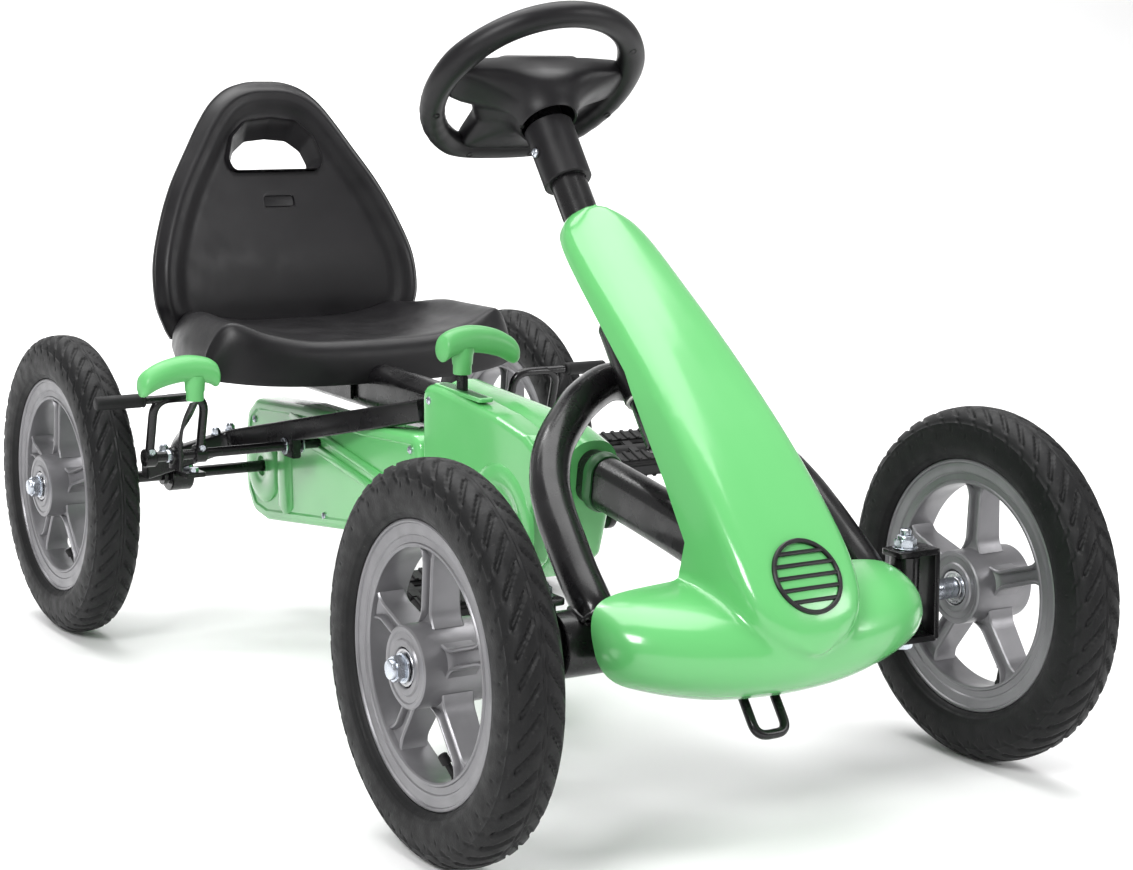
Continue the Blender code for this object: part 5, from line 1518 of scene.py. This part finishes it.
# y, share of the drop to the lip's lower edge, width scale, height scale of the bolsters
PAN_ROWS = [
    (0.21, 1.0, 0.985, 1.0), (0.21, 0.6, 0.985, 1.0), (0.212, 0.28, 0.99, 1.0), (0.218, 0.08, 0.995, 1.0),
    (0.228, 0.0, 1.0, 1.0), (0.26, 0.0, 0.995, 1.0), (0.3, 0.0, 0.98, 1.0), (0.34, 0.0, 0.95, 1.0),
    (0.385, 0.0, 0.88, 0.7), (0.419, 0.0, 0.8, 0.6),
]


def make_seat_pan():
    """The pan with a rolled front lip and two bolsters, smoothed from its own driving grid."""
    half = smooth_stations(PAN_ACROSS, 6)
    across = [(-x, z) for x, z in half[:0:-1]] + list(half)
    rows = []
    for y, drop, wide, high in smooth_stations(PAN_ROWS, 5):
        row = []
        for x, z in across:
            out = min(abs(x) / PAN_HALF_WIDTH, 1.0)
            lower_edge = 0.264 + 0.009 * out ** 3
            fade = 1 - ramp(y, 0.212, 0.262)
            corner = 0.034 * out ** 4 * fade
            level = 0.307 + (z - 0.307) * high
            row.append(Vector((x * wide, y + corner, level + (lower_edge - z) * max(0.0, drop))))
        rows.append(row)
    shape = Shape().add(net(rows, around=False), "black_plastic")
    pan = linked("seat_pan_shell", shape.mesh("seat_pan_shell", 70))
    turn_towards(pan.data, Vector((0, 0, 1)))
    modify(pan, "SOLIDIFY", thickness=0.0038, offset=-1.0)
    modify(pan, "BEVEL", width=0.0009, segments=2, angle_limit=radians(60))
    baked(pan)
    smoothed(pan, 50)
    hand_over(pan, "seat", "black_plastic", "seat_pan")


def make_seat_bracket():
    shape = Shape("black_paint")
    inner, outer = 0.0155, 0.0195
    for side in (-1, 1):
        low, high = sorted((side * inner, side * outer))
        shape.add(block((low, 0.24, 0.244), (high, 0.37, 0.2895), 0.001))
    shape.add(block((-outer, 0.24, 0.2851), (outer, 0.37, 0.2895), 0.001))
    for y in (0.258, 0.336):
        shape.add(block((-0.06, y, 0.288), (0.06, y + 0.014, 0.3024), 0.0012))
    path = bent([(0, 0.355, 0.2875), (0, 0.44, 0.2875), (0, 0.445, 0.36), (0, 0.465, 0.43)], 0.012, 6)
    shape.add(sweep(path, soft_box(0.02, 0.002, 0.001), up=(0, -0.2, 1)))
    for y, x in ((0.265, 0.045), (0.343, 0.045)):
        for side in (-1, 1):
            shape.add(nut(0.2878, -0.0044, 0.009, "Z"), "zinc", shifted(side * x, y, 0))
    piece("seat_slide_channel", shape, "seat", "black_paint", "seat_bracket")


def make_seat_knob():
    shape = Shape("black_plastic")
    rows = []
    for x, share in ((0.0225, 0.62), (0.0228, 0.66), (0.0245, 0.7), (0.0255, 0.95), (0.0262, 1.0),
                     (0.0345, 1.0), (0.0358, 0.96), (0.0365, 0.86), (0.0366, 0.4)):
        rows.append(circle("X", x, [(0.0165 + 0.0016 * cos(5 * a)) * share for a in angles_of(60)]))
    place = at((0, KNOB.y, KNOB.z))
    shape.add(net(rows), place=place)
    shape.add(rounded_cylinder(0.0158, 0.024, 0.0039, 0.0004), "zinc", place)
    piece("seat_clamp_knob", shape, "seat_knob", "black_plastic", "seat_knob")


# Stage

def area_light(name, place, target, size, power):
    data = bpy.data.lights.new(name, "AREA")
    data.shape = "RECTANGLE"
    data.size = data.size_y = size
    data.energy = power
    light = linked(name, data)
    light.location = place
    light.rotation_euler = (Vector(target) - Vector(place)).to_track_quat("-Z", "Y").to_euler()


# y and z of the floor, level under the kart and curving up behind it
FLOOR_LINE = [(-9, 0), (-3, 0), (1.8, 0), (2.2, 0), (5, 0.25), (8, 1.4), (10, 3.4), (11, 8)]
# Name, place, target, width and power of each light
LIGHTS = [
    ("key", (-2.7, -1.9, 2.5), (0.0, 0.0, 0.25), 1.3, 112),
    ("top", (0.3, 0.6, 3.4), (0.0, 0.0, 0.25), 3.4, 150),
    ("fill", (2.4, -2.6, 1.6), (0.0, 0.0, 0.25), 1.2, 34),
    ("backdrop", (-1.0, 4.0, 5.0), (3.0, 8.5, 1.0), 3.0, 560),
]
SKY_STRENGTH = 0.42


def make_stage():
    floor_mat, tree, shader, where = node_material("floor")
    tree.links.new(between(tree, noise(tree, where, 1.2), (0.86, 0.86, 0.86), (0.9, 0.9, 0.9)),
                   shader.inputs["Base Color"])
    shader.inputs["Roughness"].default_value = 0.7
    rows = []
    for y, z in FLOOR_LINE:
        rows.append([Vector((x, y, z)) for x in (-12, -6, 0, 6, 12)])
    points, faces = net(spline_rows(rows), around=False)
    mesh = bpy.data.meshes.new("floor")
    mesh.from_pydata([tuple(p) for p in points], [], faces)
    mesh.materials.append(floor_mat)
    mesh.shade_smooth()
    floor = linked("floor", mesh)
    floor.matrix_world = spun(-32, "Z") @ at((0, 0, -0.0004))

    world = bpy.data.worlds.new("studio")
    bpy.context.scene.world = world
    bpy.context.scene.view_settings.view_transform = "Standard"
    world.use_nodes = True
    background = world.node_tree.nodes["Background"]
    background.inputs["Color"].default_value = (1.0, 1.0, 1.0, 1.0)
    background.inputs["Strength"].default_value = SKY_STRENGTH
    for light in LIGHTS:
        area_light(*light)


def spline_rows(rows):
    columns = [spline(column, 6) for column in zip(*rows)]
    return [list(row) for row in zip(*columns)]


CAMERA_PLACE = (-1.0647, -1.868, 0.6087)
CAMERA_AZIMUTH, CAMERA_ELEVATION, CAMERA_ROLL = -31.728, 9.6568, 0.6817
CAMERA_LENS, SENSOR_WIDTH = 74.08, 36.0


def make_camera():
    """The main view: a little above the kart, from ahead of it on the driver's right."""
    azimuth, elevation, roll = (radians(a) for a in (CAMERA_AZIMUTH, CAMERA_ELEVATION, CAMERA_ROLL))
    back = Vector((sin(azimuth) * cos(elevation), -cos(azimuth) * cos(elevation), sin(elevation)))
    right = Vector((0, 0, 1)).cross(back).normalized()
    upward = back.cross(right)
    side = cos(roll) * right + sin(roll) * upward
    above = -sin(roll) * right + cos(roll) * upward
    data = bpy.data.cameras.new("camera")
    data.sensor_width = SENSOR_WIDTH
    data.lens = CAMERA_LENS
    camera = linked("camera", data)
    camera.matrix_world = at(CAMERA_PLACE) @ Matrix((side, above, back)).transposed().to_4x4()
    bpy.context.scene.camera = camera


# Assembly

def main():
    for step in (make_camera, make_stage, make_wheels, make_front_axle, make_hoop, make_column_sleeve,
                 make_column, make_collar, make_steering_wheel, make_knuckles, make_tie_rods, make_fairing,
                 make_beam, make_rear_stays, make_crank_hanger, make_crank, make_pedals, make_sprockets,
                 make_chain, make_rear_axle, make_drive_cover, make_chain_case, make_gear_lever, make_brake,
                 make_seat_back, make_seat_pan, make_seat_bracket, make_seat_knob):
        step()


main()
